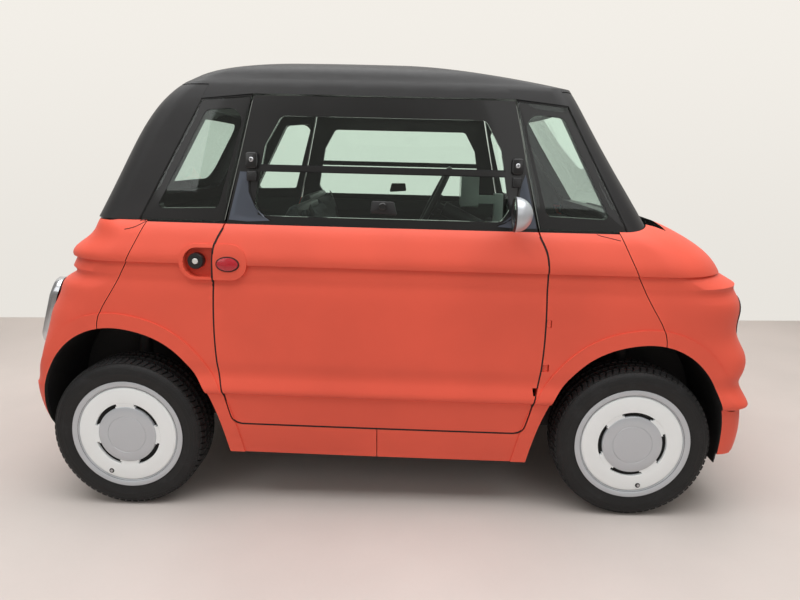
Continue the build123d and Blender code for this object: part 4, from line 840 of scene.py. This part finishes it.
def make_wheel(sizes, turn):
    """Steel rim with a full cover: silver lip, white dish with four arc slots, silver hub disc."""
    edge, f = sizes.cover_radius, 0.0658
    axis, here = (0, 1, 0), Vector()
    pieces = []

    def ring(name, profile, finish, steps=144):
        pieces.append(coated(turned(name, profile, here, axis, steps), finish))

    ring("barrel",
         [(0.174, -0.0695), (0.1795, -0.0695), (0.1795, 0.071), (0.174, 0.071), (0.174, 0.03),
          (0.168, 0.02), (0.168, -0.02), (0.174, -0.04)], "coated", 96)
    ring("back_lip", [(0.1795, -0.0695), (0.192, -0.0695), (0.192, -0.066), (0.1795, -0.066)], "coated", 96)
    ring("disc",
         [(0.04, 0.034), (0.09, 0.026), (0.13, 0.034), (0.174, 0.03), (0.174, 0.036), (0.13, 0.041),
          (0.09, 0.034), (0.04, 0.041)], "coated", 96)
    ring("hub", [(0.0, 0.02), (0.045, 0.02), (0.045, 0.046), (0.036, 0.052), (0.0, 0.053)], "coated", 48)
    ring("lip",
         [(0.1815, f), (edge - 0.001, f), (edge, f + 0.0015), (edge - 0.0004, f + 0.0042),
          (edge - 0.0035, f + 0.0072), (edge - 0.0085, f + 0.008), (0.1805, f + 0.0078),
          (0.176, f + 0.0062), (0.1722, f + 0.0028), (0.1702, f + 0.0004), (0.1702, f - 0.004),
          (0.1815, f - 0.004)], "ring")
    ring("dish",
         [(0.1700, f - 0.004), (0.1700, f + 0.0012), (0.1688, f + 0.0034), (0.1668, f + 0.0048),
          (0.162, f + 0.0054), (0.140, f + 0.0064), (0.1172, f + 0.0066), (0.115, f + 0.0062),
          (0.1142, f + 0.0048), (0.1142, f - 0.004)], "cover")
    # the well: a near-black disc just behind the dish, painted shade seen through the slots
    ring("well", [(0.04, f - 0.009), (0.1642, f - 0.009), (0.1642, f - 0.0045), (0.04, f - 0.0045)], "dark",
         72)
    ring("hub_disc",
         [(0.0, f - 0.004), (0.1002, f - 0.004), (0.1002, f + 0.0052), (0.0995, f + 0.0066),
          (0.097, f + 0.0078), (0.074, f + 0.0084), (0.0672, f + 0.0084), (0.0664, f + 0.0074),
          (0.0652, f + 0.0074), (0.0644, f + 0.0086), (0.05, f + 0.0096), (0.02, f + 0.0102),
          (0.0, f + 0.0103)], "ring", 120)
    slot, notch_turn = math.radians(29), 0.055
    bridge = [(0.0996, f - 0.004), (0.0996, f + 0.0046), (0.1146, f + 0.0064), (0.1146, f - 0.004)]
    notch = [(0.0998, f - 0.004), (0.0998, f + 0.0052), (0.1058, f + 0.0056), (0.1058, f - 0.004)]
    for k in range(4):
        middle = turn + k * math.pi / 2
        pieces.append(arc_piece("bridge", bridge, middle + slot, middle + math.pi / 2 - slot, 10, "cover"))
        for way in (1, -1):
            # a notch at the outer end of each slot
            a = middle + way * slot
            first, last = (a - notch_turn, a) if way > 0 else (a, a + notch_turn)
            pieces.append(arc_piece("notch", notch, first, last, 2, "cover"))
    # the valve, in its well: a near-black disc round it, painted shade of the recess
    a = turn + math.radians(161)
    spot = Vector((0.152 * math.sin(a), 0, 0.152 * math.cos(a)))
    valve = coated(turned("valve_well",
                          [(0.0, f + 0.0052), (0.0085, f + 0.0052), (0.0085, f + 0.0066),
                           (0.0075, f + 0.0071), (0.0, f + 0.0062)], spot, axis, 28), "dark")
    stem = coated(turned("valve_stem",
                         [(0.0, f), (0.0042, f), (0.0042, f + 0.0085), (0.0046, f + 0.0088),
                          (0.0046, f + 0.0098), (0.0, f + 0.0102)], spot + Vector((0.001, 0, 0.001)), axis,
                         20), "steel")
    pieces += [valve, stem]
    bolt = turned("bolt", [(0.0, 0.052), (0.0085, 0.052), (0.0085, 0.058), (0.0, 0.0595)], Vector(), axis,
                  6)
    moved(bolt, Matrix.Rotation(math.pi / 2, 4, "Y") @ Matrix.Translation((0.03, -0.012, 0)))
    bolts = ringed("bolts", bolt, 4, 0.0, "steel")
    pieces.append(bolts)
    return joined("wheel_master", pieces)


class MICROCAR_OT_wheels(bpy.types.Operator):
    """Tyres, rims and covers on their four wheels"""
    bl_idname = "microcar.wheels"
    bl_label = "Wheels"

    def execute(self, context):
        sizes = context.scene.microcar_sizes
        tyre = make_tyre(sizes)
        for end in ("front", "rear"):
            for side, way in SIDES:
                place = Matrix.Translation(AXLES[end, side]) @ Matrix.Scale(way, 4, (0, 1, 0))
                body = "%s_%s_road_wheel" % (end, side)
                rubber = bpy.data.objects.new("%s_%s_tyre_detail" % (end, side), tyre.data.copy())
                context.scene.collection.objects.link(rubber)
                rim = make_wheel(sizes, math.radians(8 if end == "front" else 45))
                rim.name = "%s_%s_wheel_cover" % (end, side)
                for thing, slot, kind in ((rubber, "tyre", "tyre"), (rim, "wheel_silver", "wheel")):
                    moved(thing, place)
                    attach(thing, body)
                    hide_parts("%s_%s_%s" % (end, side, kind))
        bpy.data.objects.remove(tyre)
        return {"FINISHED"}


# ------------------------------------------------------------------ body panels and glass
PANEL_FINISH = {node: (finish, slot) for finish, slot, nodes in (
    ("paint", "body_orange", ("front_clamshell", "rear_clamshell")),
    ("paint", "body_orange", ("front_side_panels", "rear_side_panels")),
    ("paint", "body_orange", ("right_door_panel", "left_door_panel")),
    ("roof", "roof_black", ("roof_panel",)),
    ("dark_glass", "dark_glass", ("roof_glass",)),
    ("fine", "frame_black", ("cab_frame",)),
    ("gloss", "frame_black", ("right_door_frame", "left_door_frame")),
    ("glass", "glass", ("quarter_glasses", "windscreen", "rear_window")),
    ("glass", "glass", ("right_door_glass", "left_door_glass")),
    ("trim", "black_trim", ("cowl_panel", "dashboard")),
) for node in nodes}
PLAIN_FINISH = {node: finish for finish, nodes in (
    ("coated", ("floor_pan", "battery_pack", "front_suspension", "rear_axle", "pedals")),
    ("trim", ("arch_liners", "steering_column")),
    ("alloy", ("motor_unit", "right_knuckle", "left_knuckle")),
) for node in nodes}


def body_of(node):
    return next(name for name, members in RECORD["behaviour"]["bodies"].items() if node in members)


class MICROCAR_OT_panels(bpy.types.Operator):
    """Body panels, glass and roof with smooth skins and their finishes"""
    bl_idname = "microcar.panels"
    bl_label = "Panels and glass"

    def execute(self, context):
        inverse = LEVEL.inverted()
        turn = inverse.to_3x3()
        for node, (finish, slot) in PANEL_FINISH.items():
            lined = finish == "paint"
            skin = dressed(copied(node), [finish, "lining"] if lined else finish, body_of(node), slot, node)
            if not lined:
                continue
            for face in skin.data.polygons:
                spot, normal = inverse @ face.center, turn @ face.normal
                out = Vector((0, spot.y, 0) if "door" in node or "side" in node
                             else (spot.x, spot.y * 0.3, 0))
                ledge = "clamshell" not in node and abs(spot.y) < 0.645 and spot.z > 0.93 and normal.z > 0.3
                if ledge or normal.dot(out.normalized()) < -0.25:
                    face.material_index = 1
        for node, finish in PLAIN_FINISH.items():
            thing = frame["nodes"][node]
            thing.data.materials.clear()
            thing.data.materials.append(FINISH[finish])
        return {"FINISHED"}


# ------------------------------------------------------------------ side windows
MM = 0.001


def mm(*points):
    return [tuple(c * MM for c in p) for p in points]


def end_border(name, tree):
    """The printed border of the rear window, on its outer face."""
    outer = round_corners(mm((-496, 1034), (496, 1034), (496, 1406), (-496, 1406)), 0.056, 8)
    inner = round_corners(mm((-432, 1084), (432, 1084), (432, 1344), (-432, 1344)), 0.075, 8)
    count, rows, points, faces, middle = len(outer), 3, [], [], Vector((0.0, 1.214))
    for lift in (-0.0003, 0.0007):
        for r in range(rows + 1):
            for a, b in zip(outer, inner):
                spot = Vector(a).lerp(Vector(b), r / rows)
                # a corner that the glass cuts off moves in to its edge
                tries = (end_face(tree, *middle.lerp(spot, 1 - k * 0.008), -1, True) for k in range(40))
                hit, normal = next(found for found in tries if found)
                points.append(hit + normal * lift)
    top = (rows + 1) * count
    for i in range(count):
        j = (i + 1) % count
        for base in (0, top):
            faces += [(base + r * count + i, base + r * count + j, base + (r + 1) * count + j,
                       base + (r + 1) * count + i) for r in range(rows)]
        faces += [(i, j, top + j, top + i),
                  (top - count + i, top - count + j, 2 * top - count + j, 2 * top - count + i)]
    return tidied(new_mesh(name, points, faces), 40)


# name, path in mm, width, lift, steps and finish of the lines round a quarter glass
QUARTER_LINES = (
    # quarter_seal: a thin grey line along the door edge, the edge's painted highlight
    ("quarter_seal", ((515, 996), (492, 1090), (466, 1200), (424, 1382)), 0.0018, 0.0012, 8, "seal"),
    ("quarter_seam", ((800, 992), (731, 1120), (664, 1246), (594, 1378)), 0.0036, 0.0009, 8, "dark"),
    ("roof_seam", ((592, 1381), (520, 1388), (428, 1396)), 0.004, 0.0008, 6, "dark"),
)


class MICROCAR_OT_window_trim(bpy.types.Operator):
    """Printed glass borders, corner panels, seals, a grey painted highlight along each door edge, hinge blocks
    and catches of the side windows
    """
    bl_idname = "microcar.window_trim"
    bl_label = "Window trim"

    def execute(self, context):
        chassis = body_of("quarter_glasses")
        for side, way in SIDES:
            skin = surface(side + "_door_frame", side + "_door_glass", "quarter_glasses", "roof_panel")
            door = body_of(side + "_door_frame")
            parts = []
            for x0, x1 in ((-445, -404), (417, 454)):
                lower = mm((x0 + 4, 1124), (x1 - 4, 1124), (x1 - 4, 1156), (x0 + 4, 1156))
                upper = round_corners(mm((x0, 1164), (x1, 1164), (x1, 1216), (x0, 1216)), 0.009, 4)
                parts.append(pressed("hinge_foot", round_corners(lower, 0.004, 3), skin, way, 0.011, 0.004,
                                     "fine"))
                parts.append(pressed("hinge_cap", upper, skin, way, 0.014, 0.005, "gloss"))
                middle, out = on_side(skin, flip((x0 + x1) / 2 * MM, way), 1.192, way, 0.012)
                parts.append(coated(turned("lock_barrel",
                                           [(0.0, 0.0), (0.007, 0.0), (0.0075, 0.0035), (0.006, 0.0045),
                                            (0.0, 0.0045)], middle, out, 24, False), "steel"))
                # the key slot is a near-black mark, painted shade of the keyhole
                slot = mm(*[((x0 + x1) / 2 + a, 1192 + b) for a, b in ((-1, -4), (1, -4), (1, 4), (-1, 4))])
                parts.append(pressed("key_slot", slot, skin, way, 0.0172, 0.0002, "dark"))
            corner_rear = mm((-438, 1153), (-436, 1089), (-415, 1041), (-389, 1010), (-366, 997),
                             (-440, 993), (-502, 997), (-483, 1075), (-464, 1154))
            corner_front = mm((449, 1128), (463, 1166), (484, 1080), (506, 995), (440, 993), (380, 998),
                              (411, 1009), (436, 1035), (446, 1080))
            for outline in (corner_rear, corner_front):
                parts.append(coated(laid("corner_panel", [(flip(x, way), z) for x, z in outline], skin, way,
                                         -0.0005, 0.0022, rows=3), "pillar"))
            parts.append(line_on("groove",
                                 mm((-432, 1153), (-430, 1089), (-410, 1044), (-385, 1014), (-362, 999)),
                                 skin, way, 0.004, 0.0022))
            parts.append(line_on("groove", mm((443, 1128), (430, 1038), (407, 1013), (376, 1001)), skin,
                                 way, 0.004, 0.0022))
            tab = round_corners(mm((-37, 1031), (-31, 1070), (41, 1069), (52, 1024)), 0.006, 4)
            parts.append(pressed("catch", tab, skin, way, 0.009, 0.004, "fine"))
            middle, out = on_side(skin, flip(0.005, way), 1.053, way, 0.008)
            parts.append(coated(turned("catch_knob",
                                       [(0.0, 0.0), (0.011, 0.0), (0.0125, 0.005), (0.0115, 0.012),
                                        (0.009, 0.0135), (0.0, 0.0135)], middle, out, 32, False), "gloss"))
            for z, width in ((1157.5, 0.004), (1176.5, 0.004)):
                parts.append(line_on("bar_seal", mm((-398, z), (0, z), (398, z)), skin, way, width, 0.0012,
                                     6, "rubber"))
            fitted(side + "_window_fittings", parts, door)
            fixed = []
            for end in (1, -1):
                outer = round_corners(mm((521, 993), (796, 993), (589, 1377), (430, 1391)), [0.004] * 4)
                inner = round_corners(mm((538, 1034), (745, 1027), (577, 1348), (446, 1360)),
                                      [0.022, 0.014, 0.03, 0.04])
                outer, inner = [[(end * x, z) for x, z in outline] for outline in (outer, inner)]
                border = laid("quarter_border", outer, skin, way, -0.0002, 0.0007, inner, 2)
                fixed.append(coated(border, "gloss"))
                for name, path, width, lift, steps, finish in QUARTER_LINES:
                    path = [(end * x, z) for x, z in mm(*path)]
                    fixed.append(line_on(name, path, skin, way, width, lift, steps, finish, False))
            fitted(side + "_quarter_trim", fixed, chassis)
        dressed(end_border("rear_window_border", surface("rear_window")), "gloss", body_of("rear_window"),
                "black_trim")
        return {"FINISHED"}


# ------------------------------------------------------------------ outside fittings
def end_face(tree, y, z, way, may_miss=False):
    """The front (way 1) or rear (way -1) skin at (y, z) of the level body, with its normal."""
    aim = LEVEL.to_3x3() @ Vector((-way, 0, 0))
    hit, normal, _, _ = tree.ray_cast(at(way * 2.0, y, z), aim)
    if hit is None:
        if may_miss:
            return None
        raise ValueError("no end face at %.3f, %.3f" % (y, z))
    return hit, -normal if normal.dot(aim) > 0 else normal


def lamp(node, name, y, z, wide, tall, way, levels):
    """Rings of a slot-shaped lamp from its rim inwards. A level is (inset, height, finish of the next band)."""
    tree, parts = surface(node), []
    aim = LEVEL.to_3x3() @ Vector((way, 0, 0))
    for (inset0, rise0, finish), (inset1, rise1, _) in zip(levels, levels[1:]):
        points, faces = [], []
        for inset, rise in ((inset0, rise0), ((inset0 + inset1) / 2, (rise0 + rise1) / 2), (inset1, rise1)):
            safe = max(inset, 0.005)
            wanted, near = [pill_outline(tall - 2 * m, max(wide - 2 * m, 0.002), 14) for m in (inset, safe)]
            for (u, v), (u0, v0) in zip(wanted, near):
                base, _ = end_face(tree, y + v0, z + u0, way)
                points.append(base + aim * rise + at(0, v, u) - at(0, v0, u0))
        count = len(points) // 3
        for r in (0, 1):
            faces += [(r * count + i, r * count + (i + 1) % count, (r + 1) * count + (i + 1) % count,
                       (r + 1) * count + i) for i in range(count)]
        if inset1 * 2 >= wide - 0.006:
            faces.append(tuple(range(2 * count, 3 * count)))
        parts.append(coated(new_mesh(name, points, faces), finish))
    whole = joined(name, parts)
    tidied(whole, 40, 0.0001)
    return whole


class MICROCAR_OT_lamps(bpy.types.Operator):
    """Lamps, reflectors, blank plates and the knobs in the handle pockets"""
    bl_idname = "microcar.lamps"
    bl_label = "Lamps and plates"

    def execute(self, context):
        chassis = body_of("tail_lamps")
        tails, heads = [], []
        for side, way in SIDES:
            y = way * 0.5
            # the "dark" band in each lamp is near-black, painted shade in the step inside the rim
            tails.append(lamp("tail_lamps", "tail", y, 0.634, 0.110, 0.247, -1,
                              [(0.0, -0.030, "chrome"), (0.0, -0.006, "chrome"), (0.003, -0.001, "chrome"),
                               (0.011, 0.0, "chrome"), (0.015, -0.006, "dark"), (0.017, -0.010, "red"),
                               (0.024, -0.004, "red"), (0.036, -0.001, "red"), (0.044, -0.002, "amber"),
                               (0.052, -0.001, "amber"), (0.0545, -0.001, "amber")]))
            heads.append(lamp("head_lamps", "head", y, 0.692, 0.120, 0.150, 1,
                              [(0.0, -0.0135, "fine"), (0.0, -0.0125, "fine"), (0.003, -0.0105, "chrome"),
                               (0.010, -0.0105, "chrome"), (0.014, -0.012, "dark"),
                               (0.017, -0.013, "chrome"), (0.035, -0.0135, "chrome"),
                               (0.046, -0.013, "lens"), (0.054, -0.011, "lens"),
                               (0.0595, -0.0105, "lens")]))
        dressed_group = ((tails, "rear_lamps", "tail_lamps"), (heads, "front_lamps", "head_lamps"))
        for things, name, node in dressed_group:
            whole = fitted(name, things, chassis)
            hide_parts(node)
        plates = copied("number_plates")
        dressed(rounded(plates, 0.0015), "plate", chassis, "plate", "number_plates")
        for side, way in SIDES:
            door = body_of(side + "_door_panel")
            skin = surface(side + "_door_panel")
            eye, rim = [[(-0.494 + (0.036 + grow) * math.cos(a), 0.857 + (0.022 + grow) * math.sin(a))
                         for a in [2 * math.pi * k / 40 for k in range(40)]] for grow in (0.0, 0.003)]
            pieces = [pressed("eye", eye, skin, way, 0.0050, 0.004, "red"),
                      pressed("rim", rim, skin, way, 0.0030, 0.002, "dark")]
            fitted(side + "_reflector", pieces, door)
            wall = surface("rear_side_panels" if way < 0 else "front_side_panels")
            middle, _ = on_side(wall, flip(-0.603, way), 0.863, way)
            out = LEVEL.to_3x3() @ Vector((0, way, 0))
            cap = [(0.0, -0.004), (0.0265, -0.018), (0.0265, 0.002), (0.024, 0.006), (0.012, 0.0065),
                   (0.011, 0.004), (0.0, 0.004)]
            barrel = [(0.0, 0.003), (0.0095, 0.003), (0.0095, 0.0068), (0.008, 0.008), (0.0, 0.008)]
            knob = [coated(turned("cap", cap, middle, out, 48, False), "fine"),
                    coated(turned("barrel", barrel, middle, out, 32, False), "plate")]
            fitted(side + "_lock", knob, chassis)
        return {"FINISHED"}


class MICROCAR_OT_fittings(bpy.types.Operator):
    """Door mirrors, wiper, towing socket, shut lines of the access covers and door seals"""
    bl_idname = "microcar.fittings"
    bl_label = "Outside fittings"

    def execute(self, context):
        for side, way in SIDES:
            node = side + "_mirror"
            body = body_of(node)
            pod = copied(node)
            inverse = LEVEL.inverted()
            dressed(pod, ["silver", "fine", "gloss"], body, "wheel_silver", node)
            for face in pod.data.polygons:
                spot = inverse @ face.center
                if abs(spot.y) < 0.662:
                    face.material_index = 1
                elif spot.x < 0.4235 and abs((inverse.to_3x3() @ face.normal).x) > 0.98:
                    face.material_index = 2
            middle, back = at(0.4232, way * 0.72, 1.046), LEVEL.to_3x3() @ Vector((-1, 0, 0))
            pane = [(0.0, 0.0), (0.047, 0.0), (0.047, 0.0012), (0.0455, 0.002), (0.0, 0.002)]
            rim = [(0.0465, 0.0), (0.0545, -0.001), (0.055, 0.003), (0.051, 0.005), (0.0465, 0.003)]
            pieces = [coated(turned("pane", pane, middle, back, 64, False), "mirror"),
                      coated(turned("rim", rim, middle, back, 64), "fine")]
            fitted(side + "_mirror_pane", pieces, body)
        chassis = body_of("wiper")
        dressed(copied("wiper"), "fine", chassis, "black_trim", "wiper")
        dressed(copied("tow_socket"), "coated", body_of("tow_socket"), "steel_dark", "tow_socket")
        lines = []
        for side, way in SIDES:
            skin = surface("front_clamshell", "rear_clamshell", "front_side_panels", "rear_side_panels")
            for path in (((-798, 984), (-786, 990), (-777, 984)), ((-777, 984), (-812, 966), (-843, 958)),
                         ((700, 982), (712, 978), (742, 972), (774, 965))):
                lines.append(line_on("cover_line", mm(*path), skin, way, 0.0022, 0.0006, 6, "dark", False))
        for side, way in SIDES:
            skin = surface(side + "_door_panel", "front_side_panels", "rear_side_panels")
            half = [(250, 302), (430, 302), (470, 304), (492, 316), (504, 342), (523, 420), (541, 530),
                    (548, 690), (546, 831), (540, 915), (516, 972)]
            path = eased(mm(*[(-x, z) for x, z in reversed(half)], *half), 10)
            pairs = []
            for spot in path:
                inward = (Vector((0, 0.65)) - spot).normalized() * 0.009
                beside, out = on_side(skin, spot.x + inward.x, spot.y + inward.y, way)
                pairs.append((at(spot.x, (LEVEL.inverted() @ beside).y, spot.y) - out * 0.0027, out))
            lines.append(coated(ribbon("seal", [p for p, n in pairs], [n for p, n in pairs], 0.0058,
                                       0.0022), "dark"))
        fitted("access_cover_lines", lines, chassis)
        return {"FINISHED"}


# ------------------------------------------------------------------ cabin
SEAT_FOOT = 380.0       # lowest place of a seat's cushion, mm


def pad(name, outline, y, half, body, finish, width=0.022, pressure=4.0):
    """A stuffed cushion from its side outline."""
    block = slab(name, mm(*outline), lambda u, v, w: at(u, w, v), y - half, y + half)
    stuffed(rounded(block, width, 4, 30), pressure)
    dressed(block, finish, body, "seat_cloth")
    return block


class MICROCAR_OT_cabin(bpy.types.Operator):
    """Seats, steering wheel, display, belts and dashboard fittings"""
    bl_idname = "microcar.cabin"
    bl_label = "Cabin"

    def execute(self, context):
        for side, way, shift in (("left", 1, -35), ("right", -1, 30)):
            node = side + "_seat"
            body = body_of(node)
            y = way * 0.292
            floor_z = (LEVEL.inverted() @ Vector((0, 0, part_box(node)[0].z))).z / MM
            z0 = round(max(floor_z, SEAT_FOOT)) + 6
            base = [(-178, z0 + 34), (146, z0 + 34), (154, z0 + 88), (140, z0 + 96), (-168, z0 + 88)]
            back = [(-186, z0 + 104), (-246, z0 + 300), (-280, 952), (-302, 1026), (-328, 1028),
                    (-318, 952), (-292, 700), (-248, z0 + 130)]
            shell = [(-300, z0 + 2), (136, z0 + 2), (142, z0 + 32), (-184, z0 + 32), (-198, z0 + 100),
                     (-256, z0 + 132), (-298, 700), (-324, 952), (-332, 1032), (-360, 1034), (-392, 978),
                     (-387, 880), (-357, 600), (-315, z0 + 34)]
            move = lambda points: [(x + shift, z) for x, z in points]
            pad(side + "_seat_cushion", move(base), y, 0.196, body, "cloth")
            pad(side + "_seat_back", move(back), y, 0.192, body, "cloth")
            tub = slab(side + "_seat_shell", mm(*move(shell)), lambda u, v, w: at(u, w, v), y - 0.211,
                       y + 0.211)
            dressed(rounded(tub, 0.010, 3), "shell", body, "seat_cloth", node)
            belt = eased([at(-0.300 + shift * MM, y + way * 0.16, 1.03),
                          at(-0.262 + shift * MM, y + way * 0.12, 0.93), at(-0.205 + shift * MM, y, 0.72),
                          at(-0.150 + shift * MM, y - way * 0.17, 0.545)])
            strap = ribbon(side + "_belt", belt, [LEVEL.to_3x3() @ Vector((1, 0, 0.3))] * len(belt), 0.046,
                           0.0014)
            dressed(strap, "rubber", body, "black_trim")
            buckle = brick(side + "_buckle", (-0.165 + shift * MM, y - way * 0.19 - 0.02, 0.50),
                           (-0.135 + shift * MM, y - way * 0.19 + 0.02, 0.565), 0.004)
            dressed(buckle, "fine", body, "black_trim")
        dressed(copied("steering_wheel"), "fine", body_of("steering_wheel"), "black_trim", "steering_wheel")
        body = body_of("instrument_display")
        dressed(rounded(copied("instrument_display"), 0.003, 2), "pale", body, "black_trim",
                "instrument_display")
        face = slab("display_face",
                    round_corners([(0.247, 0.994), (0.393, 0.994), (0.393, 1.126), (0.247, 1.126)], 0.008),
                    lambda u, v, w: at(w, u, v), 0.3035, 0.3048)
        dressed(face, "screen", body, "display")
        body = body_of("dashboard")
        parts = []
        for y in (-0.42, -0.14, 0.14, 0.42):
            place = lambda u, v, w, y=y: at(w, y + u, 0.862 + v)
            parts.append(coated(slab("vent", pill_outline(0.11, 0.036), place, 0.4415, 0.447), "gloss"))
            for k in range(-2, 3):
                parts.append(coated(brick("vane", (0.4395, y - 0.046, 0.862 + k * 0.006 - 0.001),
                                          (0.4425, y + 0.046, 0.862 + k * 0.006 + 0.001), 0.0006, 2),
                                    "fine"))
        fitted("dash_vents", parts, body)
        return {"FINISHED"}


# ------------------------------------------------------------------ studio
# the backdrop: its distance behind the car, and its slope that sets it square to the view
WALL_Y, WALL_SLOPE = 1.88, 0.037
WORLD_LIGHT = 0.33
# name, place, aim, width, height in metres, and watts
SOFT_LIGHTS = (
    ("overhead", (0.0, -0.6, 3.4), (0.0, 0.0, 0.4), 5.6, 3.4, 185),
    ("front_fill", (2.4, -4.6, 2.6), (0.2, 0, 0.6), 3.0, 2.0, 16),
    ("rear_fill", (-3.2, -4.0, 2.8), (-0.3, 0, 0.6), 2.4, 2.2, 20),
)
CAMERA_EYE = (0.1663 + HUB.x, -2.6711, 1.2217)
CAMERA_TURN = (-0.0318, -0.1988, 0.0058)    # yaw, pitch and roll in radians
CAMERA_SHIFT = (-0.0097, -0.0257)


class MICROCAR_OT_studio(bpy.types.Operator):
    """Floor, wall, soft lights and the camera"""
    bl_idname = "microcar.studio"
    bl_label = "Studio"

    def execute(self, context):
        colours, scene = context.scene.microcar_colours, context.scene
        far = 9 * WALL_SLOPE
        floor = new_mesh("studio_floor", [(-16, -14, 0), (16, -14, 0), (16, 14, 0), (-16, 14, 0)],
                         [(0, 1, 2, 3)])
        floor.data.materials.append(studio_floor("studio_floor", tuple(colours.floor)))
        wall = new_mesh("studio_wall",
                        [(-9, WALL_Y - far, 0), (9, WALL_Y + far, 0), (9, WALL_Y + far, 6),
                         (-9, WALL_Y - far, 6)], [(0, 1, 2, 3)])
        wall.data.materials.append(studio_wall("studio_wall", tuple(colours.wall)))
        world = bpy.data.worlds.new("studio")
        world.use_nodes = True
        back = world.node_tree.nodes["Background"]
        back.inputs["Color"].default_value = (*colours.wall, 1)
        back.inputs["Strength"].default_value = WORLD_LIGHT
        scene.world = world
        for name, spot, aim, width, height, power in SOFT_LIGHTS:
            lamp = bpy.data.lights.new(name, "AREA")
            lamp.shape, lamp.size, lamp.size_y, lamp.energy = "RECTANGLE", width, height, power
            thing = bpy.data.objects.new(name, lamp)
            thing.location = spot
            thing.rotation_euler = (Vector(aim) - Vector(spot)).to_track_quat("-Z", "Y").to_euler()
            scene.collection.objects.link(thing)
        yaw, pitch, roll = CAMERA_TURN
        ahead = Vector((math.sin(yaw) * math.cos(pitch), math.cos(yaw) * math.cos(pitch), math.sin(pitch)))
        right = Vector((math.cos(yaw), -math.sin(yaw), 0))
        up = right.cross(ahead)
        across = right * math.cos(roll) + up * math.sin(roll)
        tall = up * math.cos(roll) - right * math.sin(roll)
        camera = bpy.data.cameras.new("camera")
        camera.sensor_width, camera.lens = 36, context.scene.microcar_sizes.lens
        camera.shift_x, camera.shift_y = CAMERA_SHIFT
        eye = bpy.data.objects.new("camera", camera)
        turn = Matrix((across, tall, -ahead)).transposed().to_4x4()
        eye.matrix_world = Matrix.Translation(CAMERA_EYE) @ turn
        scene.collection.objects.link(eye)
        scene.camera = eye
        scene.view_settings.view_transform = "Standard"
        return {"FINISHED"}


class MICROCAR_PT_panel(bpy.types.Panel):
    """Shows the sizes, the colours and a button for each step"""
    bl_label = "Microcar"
    bl_idname = "MICROCAR_PT_panel"
    bl_space_type = "VIEW_3D"
    bl_region_type = "UI"
    bl_category = "Microcar"

    def draw(self, context):
        for group in (context.scene.microcar_sizes, context.scene.microcar_colours):
            for key in group.__annotations__:
                self.layout.prop(group, key)
        for operator in OPERATORS:
            self.layout.operator(operator.bl_idname)


OPERATORS = (MICROCAR_OT_studio, MICROCAR_OT_panels, MICROCAR_OT_wheels, MICROCAR_OT_window_trim,
             MICROCAR_OT_lamps, MICROCAR_OT_fittings, MICROCAR_OT_cabin)
CLASSES = (MicrocarColours, MicrocarSizes, MICROCAR_PT_panel) + OPERATORS


def register():
    for kind in CLASSES:
        bpy.utils.register_class(kind)
    bpy.types.Scene.microcar_sizes = PointerProperty(type=MicrocarSizes)
    bpy.types.Scene.microcar_colours = PointerProperty(type=MicrocarColours)


def unregister():
    del bpy.types.Scene.microcar_colours, bpy.types.Scene.microcar_sizes
    for kind in reversed(CLASSES):
        bpy.utils.unregister_class(kind)


def main():
    register()
    make_finishes(bpy.context.scene.microcar_colours)
    for operator in OPERATORS:
        group, name = operator.bl_idname.split(".")
        getattr(getattr(bpy.ops, group), name)()


if __name__ == "__main__":
    main()
